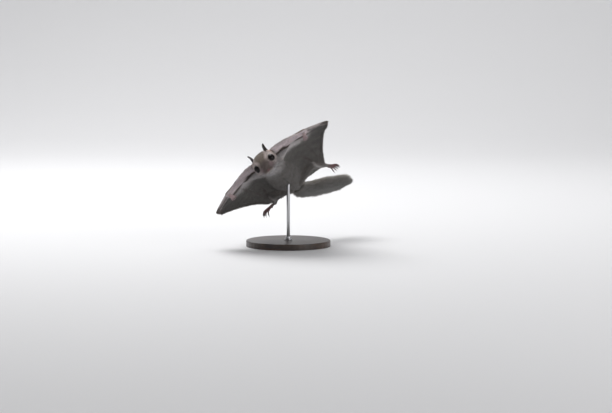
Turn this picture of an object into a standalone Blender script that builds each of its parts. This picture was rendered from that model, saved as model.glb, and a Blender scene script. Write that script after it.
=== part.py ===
"""A life-size flying squirrel in a banked glide, held over a plain round base by one rod.

The animal is a small Siberian flying squirrel, about 140 mm from nose to tail root. It is modelled in
its own body frame, in millimetres: X to the animal's left, Y from the head to the tail, Z from belly to
back, with the origin between the shoulders. An empty turns that frame into the banked pose.
"""

import math
import random

import bmesh
import bpy
import numpy as np
from mathutils import Matrix, Vector
from mathutils.bvhtree import BVHTree

MM = 0.001

# Gap that touching pieces keep, in millimetres
GAP = 0.3

# Pose of the body in degrees, and the point of it that stands over the middle of the base
PITCH = 26.0
YAW = 6.5
ROLL = 39.5
TILT = 6.0
HELD_AT = Vector((0.0, 52.0, -6.0))
HELD_HEIGHT = 86.0

# Head, in its own frame: origin between the eyes, muzzle towards -Y
HEAD_PITCH = 32.0
HEAD_ROLL = 1.4
ATLAS = Vector((0.0, -12.0, 4.0))
EYES_FROM_ATLAS = Vector((0.0, -22.0, 2.0))
HEAD_SECTIONS = (
    # y, half width, top, bottom
    (21.5, 4.5, 4.5, -4.5),
    (20.0, 9.0, 8.6, -8.2),
    (16.0, 13.8, 12.2, -11.8),
    (10.5, 16.8, 14.2, -14.2),
    (5.0, 17.7, 14.4, -15.2),
    (0.0, 16.8, 13.4, -15.2),
    (-4.0, 14.2, 11.2, -14.8),
    (-8.0, 11.2, 7.6, -14.2),
    (-11.5, 9.0, 3.4, -13.6),
    (-14.5, 7.6, -0.4, -13.2),
    (-17.0, 6.0, -3.2, -12.6),
    (-18.8, 3.8, -5.2, -11.4),
)
HEAD_SQUARENESS = 2.2
HEAD_SEGMENTS = 26
HEAD_RINGS = 19
HEAD_RING_BUNCHING = 0.10

EYE_RADIUS = 5.3
EYE_CENTRE = Vector((10.6, -4.0, 0.6))
EYE_GAZE = Vector((0.68, -0.70, 0.20)).normalized()
LID_OFFSET = 1.7
LID_RADIUS = 5.25
LID_THICKNESS = 0.9

NOSE_CENTRE = Vector((0.0, -18.7, -8.1))
NOSE_RADII = (2.5, 1.6, 1.9)
NOSTRIL = Vector((1.5, -19.8, -8.3))
NOSTRIL_RADIUS = 0.6
LIP_PAD_CENTRE = Vector((3.2, -14.6, -10.1))
LIP_PAD_RADII = (4.3, 4.9, 3.4)
CHIN_CENTRE = Vector((0.0, -13.0, -12.4))
CHIN_RADII = (3.9, 4.9, 2.1)
MOUTH_FRONT = Vector((0.0, -18.6, -11.6))
MOUTH_MIDDLE = Vector((7.4, -17.0, -12.6))
MOUTH_CORNER = Vector((7.8, -9.2, -11.0))
MOUTH_LINE_RADIUS = 0.5
MOUTH_STEPS = 7

EAR_ROOT = Vector((12.3, 6.5, 8.6))
EAR_LENGTH = 17.5
EAR_SUNK = 3.0
EAR_HALF_WIDTH = 6.2
EAR_WIDEST = 0.42
EAR_OVAL_END = 1.02
EAR_CURL = (1.15, 0.50)
EAR_DEPTH = 0.60
EAR_TIP_ROUNDING = 0.08
EAR_ROOT_THICKNESS = 1.7
EAR_TIP_THICKNESS = 0.6
EAR_LEAN = Vector((0.12, 0.62, 0.77)).normalized()
EAR_OPENING = Vector((0.94, -0.22, -0.10)).normalized()

# Trunk, along the body frame's Y
NECK_FRONT = -22.0
NECK_END = -4.0
TRUNK_END = 92.0
TRUNK_SECTIONS = (
    # y, half width, top, bottom
    (-22.0, 12.0, 12.6, -8.0),
    (-14.0, 15.0, 14.8, -10.8),
    (-4.0, 16.8, 14.8, -11.4),
    (8.0, 17.8, 13.6, -11.6),
    (22.0, 18.6, 13.6, -11.6),
    (36.0, 19.6, 14.2, -11.4),
    (50.0, 20.2, 14.4, -11.0),
    (64.0, 18.6, 13.6, -10.4),
    (76.0, 14.6, 11.4, -9.2),
    (85.0, 9.8, 8.4, -7.0),
    (92.0, 6.2, 5.4, -4.8),
)
TRUNK_SQUARENESS = 2.15
TRUNK_SEGMENTS = 22
TRUNK_RINGS = 15
NECK_RINGS = 5

# Limbs: joints of the left side, which the right side mirrors, and radii at both ends
SHOULDER = Vector((11.0, -3.0, -0.5))
ELBOW = Vector((38.0, -20.5, 3.2))
WRIST = Vector((64.5, -22.0, -0.8))
HIP = Vector((8.0, 75.0, -2.0))
KNEE_LEFT = Vector((32.0, 72.0, 2.5))
KNEE_RIGHT = Vector((28.0, 68.0, 2.5))
ANKLE_LEFT = Vector((47.5, 99.0, 0.5))
ANKLE_RIGHT = Vector((35.5, 88.5, 0.5))
UPPER_ARM_RADII = (7.4, 5.8)
FOREARM_RADII = (5.8, 3.8)
THIGH_RADII = (8.6, 6.6)
SHANK_RADII = (6.4, 3.6)
LIMB_FLATNESS = 0.86
LIMB_SEGMENTS = 12
ROUND_END = (
    # distance past the joint and radius, both as shares of the limb's radius there
    (0.80, 0.60),
    (0.42, 0.91),
)

# Hands and feet. A digit's row is its length, its curl and how far back it starts, inner digit first
HAND_WAY = Vector((-0.30, -0.25, -0.92)).normalized()
HAND_CURL_WAY = Vector((0.25, 0.92, -0.20))
HAND_START = 2.2
PALM_LENGTH = 7.0
PALM_RADII = (1.8, 2.9)
FINGER_RADIUS = 0.80
FINGER_SPREAD = 13.0
FINGERS = ((6.0, 0.75, 0.0), (7.2, 0.75, 0.0), (7.1, 0.75, 0.0), (5.9, 0.75, 0.0))
FOOT_WAY_LEFT = Vector((0.30, 0.94, 0.0)).normalized()
FOOT_WAY_RIGHT = Vector((0.93, 0.30, 0.06)).normalized()
FOOT_CURL_WAY = Vector((0.0, 0.0, -1.0))
FOOT_START = 1.0
SOLE_LENGTH = 17.0
SOLE_RADII = (2.2, 3.5)
TOE_RADIUS = 0.95
TOE_SPREAD = 12.0
TOES = ((7.0, 0.9, 2.2), (9.0, 0.7, 0.0), (9.6, 0.62, 0.0), (9.0, 0.7, 0.0), (7.4, 0.9, 1.4))
PALM_FLATNESS = 0.62
DIGIT_SECTIONS = (
    # share of the length, share of the radius, with the claw from 0.76 on
    (0.0, 1.05),
    (0.30, 0.92),
    (0.62, 1.0),
    (0.76, 0.80),
    (0.80, 0.42),
    (0.99, 0.10),
)

# Membranes of the left side: the wing's squared tip, and the free edge back to the ankle
WING_TIP_FRONT = Vector((95.5, 1.5, 0.0))
WING_TIP_BACK_LEFT = Vector((88.0, 15.5, 0.5))
WING_TIP_BACK_RIGHT = Vector((93.0, 15.5, 0.5))
FREE_EDGE_LEFT = (
    # share of the span, x, y, z
    (0.60, 52.5, 85.0, 2.0),
    (0.70, 58.5, 69.0, 3.0),
    (0.82, 69.5, 45.5, 3.0),
    (0.92, 80.5, 23.5, 2.0),
)
FREE_EDGE_RIGHT = (
    (0.60, 45.5, 81.0, 2.0),
    (0.70, 52.0, 67.0, 3.0),
    (0.82, 65.5, 47.0, 3.0),
    (0.92, 81.5, 28.0, 2.0),
)
LEAD_EDGE = (
    (0.0, 5.0, 1.0, -0.5),
    (0.10, 15.0, -4.0, 0.0),
    (0.38, *ELBOW),
    (0.64, *WRIST),
    (0.82, 80.5, -11.0, -1.0),
    (1.0, *WING_TIP_FRONT),
)
WING_CAMBER = 9.0
WING_THICKNESS = 3.4
WING_EDGE_THICKNESS = 1.7
SPUR_THICKNESS = 4.6
WING_SPAN_STEPS = 18
WING_CHORD_STEPS = 10
FORE_WEB_FRONT = (
    (0.0, 9.0, -27.0, 6.0),
    (0.30, 22.0, -33.0, 5.0),
    (0.65, 42.0, -30.0, 3.0),
    (1.0, 62.0, -24.5, -0.5),
)
FORE_WEB_BACK = (
    (0.0, 9.0, -4.0, 2.0),
    (0.30, 22.0, -10.0, 3.0),
    (0.65, 42.0, -20.5, 3.0),
    (1.0, 62.0, -21.5, -0.8),
)
FORE_WEB_THICKNESS = (1.8, 5.2)
HIND_WEB_THICKNESS = (3.2, 1.6)

# Tail
TAIL_LENGTH = 108.0
TAIL_ROOT_HEIGHT = 0.2
TAIL_STEPS = 24
TAIL_TURN = 28.0
TAIL_DROOP = -5.0
TAIL_CORE_END = 0.93
TAIL_CORE_SECTIONS = (
    # share of the length, half width, half height
    (0.0, 6.0, 4.6),
    (0.10, 6.4, 4.2),
    (0.35, 7.4, 3.4),
    (0.65, 7.2, 3.0),
    (0.88, 4.6, 2.2),
    (1.0, 1.6, 1.2),
)
TAIL_RINGS = 12
TAIL_SEGMENTS = 14
TAIL_SEED = 7

# Locks of the tail: places along it, reach to each side, and the size of one lock
SIDE_LOCKS = 16
SIDE_LOCK_SPAN = (0.035, 0.925)
RIDGE_LOCKS = 11
RIDGE_LOCK_SPAN = (0.03, 0.84)
RIDGE_LOCK_SHARE = 0.72
TIP_LOCKS = 7
TIP_LOCK_PLACE = 0.90
TIP_LOCK_FAN = 26.0
LOCK_REACH = (
    # share of the tail's length, share of the full lock
    (0.0, 0.46),
    (0.15, 0.72),
    (0.35, 0.95),
    (0.60, 1.0),
    (0.85, 0.88),
    (1.0, 0.72),
)
LOCK_LENGTH = 25.0
LOCK_WIDTH = 6.6
LOCK_THICKNESS = 1.9
LOCK_SEGMENTS = 6
LOCK_SECTIONS = (
    # share of the length, share of the width, share of the thickness
    (0.0, 0.85, 1.0),
    (0.35, 1.0, 0.85),
    (0.70, 0.72, 0.60),
)
LOCK_BEND = 0.55
ROOT_SLANT = math.radians(40)
TIP_SLANT = math.radians(25)

# Stand
BASE_RADIUS = 56.0
BASE_HEIGHT = 8.0
BASE_ROUNDING = 1.2
ROD_RADIUS = 2.2

# Base colour, roughness and metallic value of each finish
FINISHES = {
    "back_fur": ((0.30, 0.26, 0.22), 0.9, 0.0),
    "under_fur": ((0.24, 0.22, 0.20), 0.9, 0.0),
    "face_fur": ((0.34, 0.29, 0.24), 0.9, 0.0),
    "tail_fur": ((0.26, 0.24, 0.21), 0.9, 0.0),
    "bare_skin": ((0.48, 0.27, 0.24), 0.6, 0.0),
    "ear_skin": ((0.12, 0.09, 0.08), 0.7, 0.0),
    "eye": ((0.010, 0.009, 0.008), 0.08, 0.0),
    "stand": ((0.05, 0.05, 0.055), 0.5, 0.0),
    "rod": ((0.45, 0.45, 0.46), 0.3, 1.0),
}
SHARP_ANGLE = math.radians(40)

X = Vector((1, 0, 0))
Z = Vector((0, 0, 1))
SIDES = (("left", 1.0), ("right", -1.0))


# Scene, collections and materials


def new_collection(name):
    made = bpy.data.collections.new(name)
    bpy.context.scene.collection.children.link(made)
    return made


def finish(name):
    """The Principled material of that name, made once."""
    if name in bpy.data.materials:
        return bpy.data.materials[name]
    colour, roughness, metallic = FINISHES[name]
    material = bpy.data.materials.new(name)
    material.use_nodes = True
    shader = material.node_tree.nodes["Principled BSDF"]
    shader.inputs["Base Color"].default_value = (*colour, 1.0)
    shader.inputs["Roughness"].default_value = roughness
    shader.inputs["Metallic"].default_value = metallic
    return material


def new_solid(name, bm):
    """A closed bmesh as an object among the cutters, with its faces turned outwards."""
    bmesh.ops.recalc_face_normals(bm, faces=bm.faces)
    mesh = bpy.data.meshes.new(name)
    bm.to_mesh(mesh)
    bm.free()
    obj = bpy.data.objects.new(name, mesh)
    obj.hide_render = True
    obj.display_type = "WIRE"
    bpy.data.collections["cutters"].objects.link(obj)
    return obj


def keep(obj, finish_name, pose=None):
    """Moves a finished piece to the model, shaded and placed by its pose."""
    bpy.data.collections["cutters"].objects.unlink(obj)
    bpy.data.collections["flying_squirrel"].objects.link(obj)
    obj.hide_render = False
    obj.display_type = "TEXTURED"
    obj.data.materials.clear()
    obj.data.materials.append(finish(finish_name))
    obj.data.shade_smooth()
    obj.data.set_sharp_from_angle(angle=SHARP_ANGLE)
    obj.parent = pose


def new_pose(name, matrix, parent=None):
    pose = bpy.data.objects.new(name, None)
    bpy.data.collections["flying_squirrel"].objects.link(pose)
    pose.parent = parent
    pose.matrix_basis = matrix
    return pose


# Joining and cutting


def apply_modifiers(obj):
    graph = bpy.context.evaluated_depsgraph_get()
    mesh = bpy.data.meshes.new_from_object(obj.evaluated_get(graph))
    obj.modifiers.clear()
    old = obj.data
    obj.data = mesh
    bpy.data.meshes.remove(old)


def combine(obj, others, operation, solver="EXACT"):
    """Joins the others to obj, or cuts them from it, removes them and keeps the largest body."""
    operands = bpy.data.collections.new("operands")
    for other in others:
        operands.objects.link(other)
    modifier = obj.modifiers.new(operation.lower(), "BOOLEAN")
    modifier.operation = operation
    modifier.operand_type = "COLLECTION"
    modifier.collection = operands
    modifier.solver = solver
    apply_modifiers(obj)
    for other in others:
        bpy.data.objects.remove(other)
    bpy.data.collections.remove(operands)
    keep_largest(obj)


def join(obj, others, solver="EXACT"):
    combine(obj, others, "UNION", solver)


def cut(obj, others):
    combine(obj, others, "DIFFERENCE")


def enclosed(faces):
    """Volume inside a closed set of faces."""
    total = 0.0
    for face in faces:
        first, *rest = [vert.co for vert in face.verts]
        for second, third in zip(rest, rest[1:]):
            total += first.dot(second.cross(third))
    return abs(total) / 6


def keep_largest(obj):
    """Drops every closed surface of the object but the one that holds most."""
    bm = bmesh.new()
    bm.from_mesh(obj.data)
    unseen = set(bm.faces)
    surfaces = []
    while unseen:
        surface = {unseen.pop()}
        border = list(surface)
        while border:
            for edge in border.pop().edges:
                fresh = unseen.intersection(edge.link_faces)
                unseen -= fresh
                surface |= fresh
                border.extend(fresh)
        surfaces.append(surface)
    surfaces.sort(key=enclosed)
    spare = [face for surface in surfaces[:-1] for face in surface]
    bmesh.ops.delete(bm, geom=spare, context="FACES")
    bm.to_mesh(obj.data)
    bm.free()


# Curves and shapes


def smooth_step(low, high, x):
    t = min(max((x - low) / (high - low), 0.0), 1.0)
    return t * t * (3 - 2 * t)


def mix(low, high, share):
    return low + (high - low) * share


def along(rows, t):
    """Value at t of a smooth curve through rows of (t, value, ...), whose t rises or falls."""
    table = np.array(rows, float)
    if table[0, 0] > table[-1, 0]:
        table = table[::-1]
    knots = table[:, 0]
    values = table[:, 1:]
    slopes = np.gradient(values, knots, axis=0)
    i = int(np.clip(np.searchsorted(knots, t) - 1, 0, len(knots) - 2))
    width = knots[i + 1] - knots[i]
    s = (np.clip(t, knots[0], knots[-1]) - knots[i]) / width
    start = (2 * s**3 - 3 * s**2 + 1) * values[i] + (s**3 - 2 * s**2 + s) * width * slopes[i]
    end = (3 * s**2 - 2 * s**3) * values[i + 1] + (s**3 - s**2) * width * slopes[i + 1]
    return start + end


def mirrored(point, side):
    return Vector((point.x * side, point.y, point.z))


def oval(centre, across, up, half_width, half_height, segments, squareness=2.0):
    """Points of a rounded section about a centre."""
    points = []
    for i in range(segments):
        angle = 2 * math.pi * i / segments
        c = math.cos(angle)
        s = math.sin(angle)
        x = math.copysign(abs(c) ** (2 / squareness), c) * half_width
        z = math.copysign(abs(s) ** (2 / squareness), s) * half_height
        points.append(centre + across * x + up * z)
    return points


def loft(name, sections, start_pole=None, end_pole=None):
    """A closed body through sections of equal counts, with a pole or a flat face at each end."""
    bm = bmesh.new()
    rows = [[bm.verts.new(point) for point in section] for section in sections]
    count = len(rows[0])
    for first, second in zip(rows, rows[1:]):
        for i in range(count):
            j = (i + 1) % count
            bm.faces.new((first[i], first[j], second[j], second[i]))
    for row, pole in ((rows[0], start_pole), (rows[-1], end_pole)):
        if pole is None:
            bm.faces.new(row)
            continue
        tip = bm.verts.new(pole)
        for i in range(count):
            bm.faces.new((row[i], row[(i + 1) % count], tip))
    return new_solid(name, bm)


def limb(name, start, end, radii, grow=0.0, flatness=LIMB_FLATNESS):
    """A tapered limb with round ends, a little flatter than wide."""
    way = (end - start).normalized()
    across = way.cross(Z).normalized()
    up = across.cross(way)
    first = radii[0] + grow
    last = radii[1] + grow
    length = (end - start).length
    rows = [(-past * first, share * first) for past, share in ROUND_END]
    rows += [(length * t, mix(first, last, t)) for t in (0.0, 0.33, 0.66, 1.0)]
    rows += [(length + past * last, share * last) for past, share in reversed(ROUND_END)]
    sections = [oval(start + way * s, across, up, r, r * flatness, LIMB_SEGMENTS) for s, r in rows]
    return loft(name, sections, start - way * first, end + way * last)


def ball(name, centre, radii, turn=None, segments=12, rings=7):
    """An ellipsoid with the given radii along its own axes."""
    matrix = Matrix.Translation(centre)
    if turn is not None:
        matrix = matrix @ turn.to_matrix().to_4x4()
    matrix = matrix @ Matrix.Diagonal((*radii, 1.0))
    bm = bmesh.new()
    bmesh.ops.create_uvsphere(bm, u_segments=segments, v_segments=rings, radius=1.0, matrix=matrix)
    return new_solid(name, bm)


def torus(name, centre, turn, radius, thickness):
    """A ring of round section, with its axis turned."""
    bpy.ops.mesh.primitive_torus_add(
        major_segments=20, minor_segments=6, major_radius=radius, minor_radius=thickness
    )
    obj = bpy.context.object
    obj.name = name
    obj.data.transform(Matrix.Translation(centre) @ turn.to_matrix().to_4x4())
    return obj


def tube(name, points, radii, sides=6):
    """A round tube through points, one radius each, with a short point at both ends."""
    sections = []
    side = (points[1] - points[0]).orthogonal().normalized()
    for i, point in enumerate(points):
        way = (points[min(i + 1, len(points) - 1)] - points[max(i - 1, 0)]).normalized()
        side = (side - way * side.dot(way)).normalized()
        sections.append(oval(point, side, way.cross(side), radii[i], radii[i], sides))
    start = points[0] + (points[0] - points[1]).normalized() * radii[0] * 0.5
    end = points[-1] + (points[-1] - points[-2]).normalized() * radii[-1] * 0.5
    return loft(name, sections, start, end)


def sheet(name, surface, thickness, steps, thickest):
    """A thin sheet over surface(u, v), split into like triangles on both faces by a Solidify."""
    bm = bmesh.new()
    bmesh.ops.create_grid(bm, x_segments=steps[0], y_segments=steps[1], size=0.5)
    weights = bm.verts.layers.deform.verify()
    for vert in bm.verts:
        u = vert.co.x + 0.5
        v = (vert.co.y + 0.5) ** 1.25
        vert.co = surface(u, v)
        vert[weights][0] = thickness(u, v) / thickest
    bmesh.ops.triangulate(bm, faces=bm.faces)
    obj = new_solid(name, bm)
    obj.vertex_groups.new(name="thickness")
    modifier = obj.modifiers.new("thickness", "SOLIDIFY")
    modifier.thickness = thickest
    modifier.offset = 0.0
    modifier.vertex_group = "thickness"
    apply_modifiers(obj)
    return obj


# Head


def head_matrix():
    """Places the head's own frame in the body frame."""
    pitch = Matrix.Rotation(math.radians(HEAD_PITCH), 4, "X")
    roll = Matrix.Rotation(math.radians(-HEAD_ROLL), 4, "Y")
    return Matrix.Translation(ATLAS) @ pitch @ roll @ Matrix.Translation(EYES_FROM_ATLAS)


def skull(name, grow=0.0):
    """The plain outer form of the head, in the head's frame."""
    first = HEAD_SECTIONS[0][0]
    last = HEAD_SECTIONS[-1][0]
    sections = []
    for i in range(HEAD_RINGS):
        share = i / (HEAD_RINGS - 1)
        y = mix(first, last, share - HEAD_RING_BUNCHING * math.sin(2 * math.pi * share))
        half_width, top, bottom = along(HEAD_SECTIONS, y)
        centre = Vector((0, y, (top + bottom) / 2))
        radii = (half_width + grow, (top - bottom) / 2 + grow)
        sections.append(oval(centre, X, Z, *radii, HEAD_SEGMENTS, HEAD_SQUARENESS))
    back = Vector((0, first + 1.0 + grow, 0))
    front = centre - Vector((0, 0.8 + grow, 0))
    return loft(name, sections, back, front)


def mouth_line(form):
    """A thin tube along the line of the mouth, from corner to corner, laid on the surface of the form."""
    bm = bmesh.new()
    bm.from_mesh(form.data)
    surface = BVHTree.FromBMesh(bm)
    bm.free()
    points = []
    for i in range(-MOUTH_STEPS, MOUTH_STEPS + 1):
        t = abs(i) / MOUTH_STEPS
        point = (1 - t) ** 2 * MOUTH_FRONT + 2 * t * (1 - t) * MOUTH_MIDDLE + t * t * MOUTH_CORNER
        points.append(surface.find_nearest(mirrored(point, math.copysign(1, i)))[0])
    return tube("mouth_line", points, [MOUTH_LINE_RADIUS] * len(points), 5)


def gaze(side):
    return mirrored(EYE_GAZE, side).to_track_quat("Z", "Y")


def eyeball(name, side, grow=0.0):
    return ball(name, mirrored(EYE_CENTRE, side), (EYE_RADIUS + grow,) * 3, gaze(side), 18, 12)


def lids(side):
    centre = mirrored(EYE_CENTRE + EYE_GAZE * LID_OFFSET, side)
    return torus("lids", centre, gaze(side), LID_RADIUS, LID_THICKNESS)


def head():
    """The skull with nose, lip pads, chin and lids, cut by the mouth's line, eyes and nostrils."""
    form = skull("head")
    added = [ball("nose", NOSE_CENTRE, NOSE_RADII), ball("chin", CHIN_CENTRE, CHIN_RADII)]
    removed = []
    for _, side in SIDES:
        added.append(ball("lip_pad", mirrored(LIP_PAD_CENTRE, side), LIP_PAD_RADII))
        added.append(lids(side))
        removed.append(eyeball("socket", side, GAP))
        removed.append(ball("nostril", mirrored(NOSTRIL, side), (NOSTRIL_RADIUS,) * 3, None, 8, 6))
    join(form, added)
    cut(form, [mouth_line(form)] + removed)
    return form


def ear(name, side):
    """A cupped leaf with a rounded tip, open to the side."""
    lean = mirrored(EAR_LEAN, side)
    opening = mirrored(EAR_OPENING, side)
    opening = (opening - lean * opening.dot(lean)).normalized()
    across = lean.cross(opening)
    root = mirrored(EAR_ROOT, side)

    def surface(u, v):
        """u runs up the ear, with its rows closer near the tip, and v from one rim to the other."""
        u = 1 - (1 - u) ** 1.15
        width = EAR_HALF_WIDTH * math.sqrt(1 - ((u - EAR_WIDEST) / (EAR_OVAL_END - EAR_WIDEST)) ** 2)
        turn = (v - 0.5) * math.pi * mix(*EAR_CURL, u)
        hollow = opening * width * math.cos(turn) * EAR_DEPTH
        height = EAR_LENGTH * (u - EAR_TIP_ROUNDING * u**6 * math.sin(turn) ** 2) - EAR_SUNK
        return root + lean * height + across * width * math.sin(turn) - hollow

    def thickness(u, v):
        return mix(EAR_ROOT_THICKNESS, EAR_TIP_THICKNESS, u)

    form = sheet(name, surface, thickness, (9, 8), EAR_ROOT_THICKNESS)
    cut(form, [skull("skull", GAP)])
    return form


# Trunk and limbs


def trunk(name, start, end, rings, grow=0.0):
    """The trunk from start to end along Y, with a flat face at each end."""
    sections = []
    for i in range(rings):
        y = mix(start, end, i / (rings - 1))
        half_width, top, bottom = along(TRUNK_SECTIONS, y)
        centre = Vector((0, y, (top + bottom) / 2))
        radii = (half_width + grow, (top - bottom) / 2 + grow)
        sections.append(oval(centre, X, Z, *radii, TRUNK_SEGMENTS, TRUNK_SQUARENESS))
    return loft(name, sections)


def grown_trunk():
    """The trunk from neck to tail root, one gap larger, to cut what meets it."""
    return trunk("trunk", NECK_FRONT, TRUNK_END, TRUNK_RINGS + NECK_RINGS, GAP)


def grown_head():
    """The skull one gap larger, in the body frame, to cut what meets it."""
    form = skull("skull", GAP)
    form.data.transform(head_matrix())
    return form


def neck():
    form = trunk("neck", NECK_FRONT, NECK_END - GAP, NECK_RINGS)
    cut(form, [grown_head()])
    return form


def knee(side):
    return mirrored(KNEE_LEFT if side > 0 else KNEE_RIGHT, side)


def ankle(side):
    return mirrored(ANKLE_LEFT if side > 0 else ANKLE_RIGHT, side)


def upper_arm(name, side, grow=0.0):
    return limb(name, mirrored(SHOULDER, side), mirrored(ELBOW, side), UPPER_ARM_RADII, grow)


def forearm(name, side, grow=0.0):
    return limb(name, mirrored(ELBOW, side), mirrored(WRIST, side), FOREARM_RADII, grow)


def thigh(name, side, grow=0.0):
    return limb(name, mirrored(HIP, side), knee(side), THIGH_RADII, grow)


def shank(name, side, grow=0.0):
    return limb(name, knee(side), ankle(side), SHANK_RADII, grow)


# Hands and feet


def palm_axes(side, hind):
    """Start, way, curl and cross directions of a hand or foot."""
    if hind:
        way = mirrored(FOOT_WAY_LEFT if side > 0 else FOOT_WAY_RIGHT, side)
        curl = mirrored(FOOT_CURL_WAY, side)
        start = ankle(side) + way * FOOT_START
    else:
        way = mirrored(HAND_WAY, side)
        curl = mirrored(HAND_CURL_WAY, side)
        start = mirrored(WRIST, side) + way * HAND_START
    curl = (curl - way * curl.dot(way)).normalized()
    return start, way, curl, way.cross(curl).normalized()


def palm(name, side, hind, grow=0.0):
    """The palm of a hand, or the sole of a foot."""
    start, way, _, _ = palm_axes(side, hind)
    length = SOLE_LENGTH if hind else PALM_LENGTH
    radii = SOLE_RADII if hind else PALM_RADII
    return limb(name, start + way * radii[0], start + way * length, radii, grow, PALM_FLATNESS)


def digit(root, way, curl_way, length, radius, curl):
    """A finger or toe that curls, and ends in a claw."""
    points = []
    for t, _ in DIGIT_SECTIONS:
        angle = curl * t * t
        points.append(root + (way * math.cos(angle * 0.6) + curl_way * math.sin(angle)) * length * t)
    return tube("digit", points, [radius * share for _, share in DIGIT_SECTIONS])


def paw(name, side, hind):
    """A palm or sole with its digits fanned out."""
    start, way, curl_way, across = palm_axes(side, hind)
    end = start + way * (SOLE_LENGTH if hind else PALM_LENGTH)
    half_width = (SOLE_RADII if hind else PALM_RADII)[1]
    rows = TOES if hind else FINGERS
    radius = TOE_RADIUS if hind else FINGER_RADIUS
    spread = math.radians(TOE_SPREAD if hind else FINGER_SPREAD)
    digits = []
    for i, (length, curl, back) in enumerate(rows):
        place = i - (len(rows) - 1) / 2
        out = way * math.cos(spread * place) + across * math.sin(spread * place)
        root = end + across * half_width * 0.42 * place - way * (0.6 + back)
        digits.append(digit(root, out, curl_way, length + back, radius, curl))
    form = palm(name, side, hind)
    join(form, digits)
    return form


def hand(name, side):
    form = paw(name, side, False)
    cut(form, [forearm("forearm", side, GAP)])
    return form


def foot(name, side):
    form = paw(name, side, True)
    cut(form, [shank("shank", side, GAP)])
    return form


# Membranes


def trail_edge(u, side):
    """Line along the leg to the ankle, then along the free edge to the wing's tip."""
    knee_end = mirrored(knee(side), side)
    ankle_end = mirrored(ankle(side), side)
    rows = (
        (0.0, 5.0, 72.0, 0.0),
        (0.10, 13.0, 73.0, -0.5),
        (0.30, knee_end.x - 0.5, knee_end.y + 2.0, knee_end.z),
        (0.48, ankle_end.x - 0.5, ankle_end.y - 5.0, ankle_end.z),
        *(FREE_EDGE_LEFT if side > 0 else FREE_EDGE_RIGHT),
        (1.0, *(WING_TIP_BACK_LEFT if side > 0 else WING_TIP_BACK_RIGHT)),
    )
    return Vector(along(rows, u))


def wing(name, side):
    """The main membrane between arm, flank and leg, bellied up by the air."""

    def surface(u, v):
        """u runs from the flank to the tip, and v from the arm to the free edge."""
        point = Vector(along(LEAD_EDGE, u)).lerp(trail_edge(u, side), v)
        point.z += WING_CAMBER * math.sin(math.pi * u**0.9) ** 0.8 * math.sin(math.pi * v**0.8)
        return mirrored(point, side)

    def thickness(u, v):
        free = smooth_step(0.46, 0.62, u) * smooth_step(0.72, 1.0, v)
        spur = smooth_step(0.60, 0.70, u) * (1 - smooth_step(0.0, 0.16, v))
        spur *= 1 - 0.45 * smooth_step(0.7, 1.0, u)
        tip = smooth_step(0.90, 1.0, u)
        plain = mix(WING_THICKNESS, WING_EDGE_THICKNESS, max(free, tip * 0.6))
        return mix(plain, SPUR_THICKNESS, spur)

    return sheet(name, surface, thickness, (WING_SPAN_STEPS, WING_CHORD_STEPS), SPUR_THICKNESS)


def web(name, side, front, back, thickness, steps):
    """A small web between two edges, with a thickness at each."""

    def surface(u, v):
        return mirrored(Vector(along(front, u)).lerp(Vector(along(back, u)), v), side)

    def thickness_at(u, v):
        return mix(*thickness, smooth_step(0.0, 1.0, v))

    return sheet(name, surface, thickness_at, steps, max(thickness))


def fore_web(name, side):
    """The web in front of the arm, from cheek to wrist."""
    form = web(name, side, FORE_WEB_FRONT, FORE_WEB_BACK, FORE_WEB_THICKNESS, (8, 5))
    cut(form, [grown_head()])
    return form


def hind_web(name, side):
    """The web behind the leg, from ankle to tail root."""
    end = mirrored(ankle(side), side)
    front = ((0.0, 4.0, 80.0, 0.0), (0.5, 18.0, 79.0, 0.0), (1.0, end.x - 6.0, end.y - 14.0, 1.5))
    back = ((0.0, 3.0, 91.3, 0.0), (0.5, 18.0, 91.0, 0.0), (1.0, end.x - 2.5, end.y - 2.5, end.z))
    return web(name, side, front, back, HIND_WEB_THICKNESS, (7, 5))


def part_from_body(form, side):
    """Cuts a membrane clear of the trunk and limbs that it grows from."""
    arm = [upper_arm("arm", side, GAP), forearm("forearm", side, GAP), palm("palm", side, False, GAP)]
    leg = [thigh("thigh", side, GAP), shank("shank", side, GAP), palm("sole", side, True, GAP)]
    cut(form, [grown_trunk()] + arm + leg)
    return form


# Tail


def tail_point(t):
    """Centre and way of the tail at share t of its length, summed in short straight steps."""
    centre = Vector((0.0, TRUNK_END + GAP, TAIL_ROOT_HEIGHT))
    for i in range(TAIL_STEPS + 1):
        s = (i + 0.5) / TAIL_STEPS * t
        turn = math.radians(TAIL_TURN) * smooth_step(-0.05, 0.30, s)
        droop = math.radians(TAIL_DROOP) * smooth_step(0.0, 0.5, s)
        level = Vector((math.sin(turn), math.cos(turn), 0))
        way = level * math.cos(droop) - Z * math.sin(droop)
        if i < TAIL_STEPS:
            centre = centre + way * TAIL_LENGTH * t / TAIL_STEPS
    return centre, way


def tail_axes(t):
    """Centre, way, across and up of the tail at share t."""
    centre, way = tail_point(t)
    across = way.cross(Z).normalized()
    return centre, way, across, across.cross(way)


def tail_core():
    sections = []
    for i in range(TAIL_RINGS):
        t = i / (TAIL_RINGS - 1) * TAIL_CORE_END
        centre, _, across, up = tail_axes(t)
        half_width, half_height = along(TAIL_CORE_SECTIONS, t)
        sections.append(oval(centre, across, up, half_width, half_height, TAIL_SEGMENTS))
    return loft("tail", sections, None, tail_point(TAIL_CORE_END + 0.04)[0])


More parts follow.
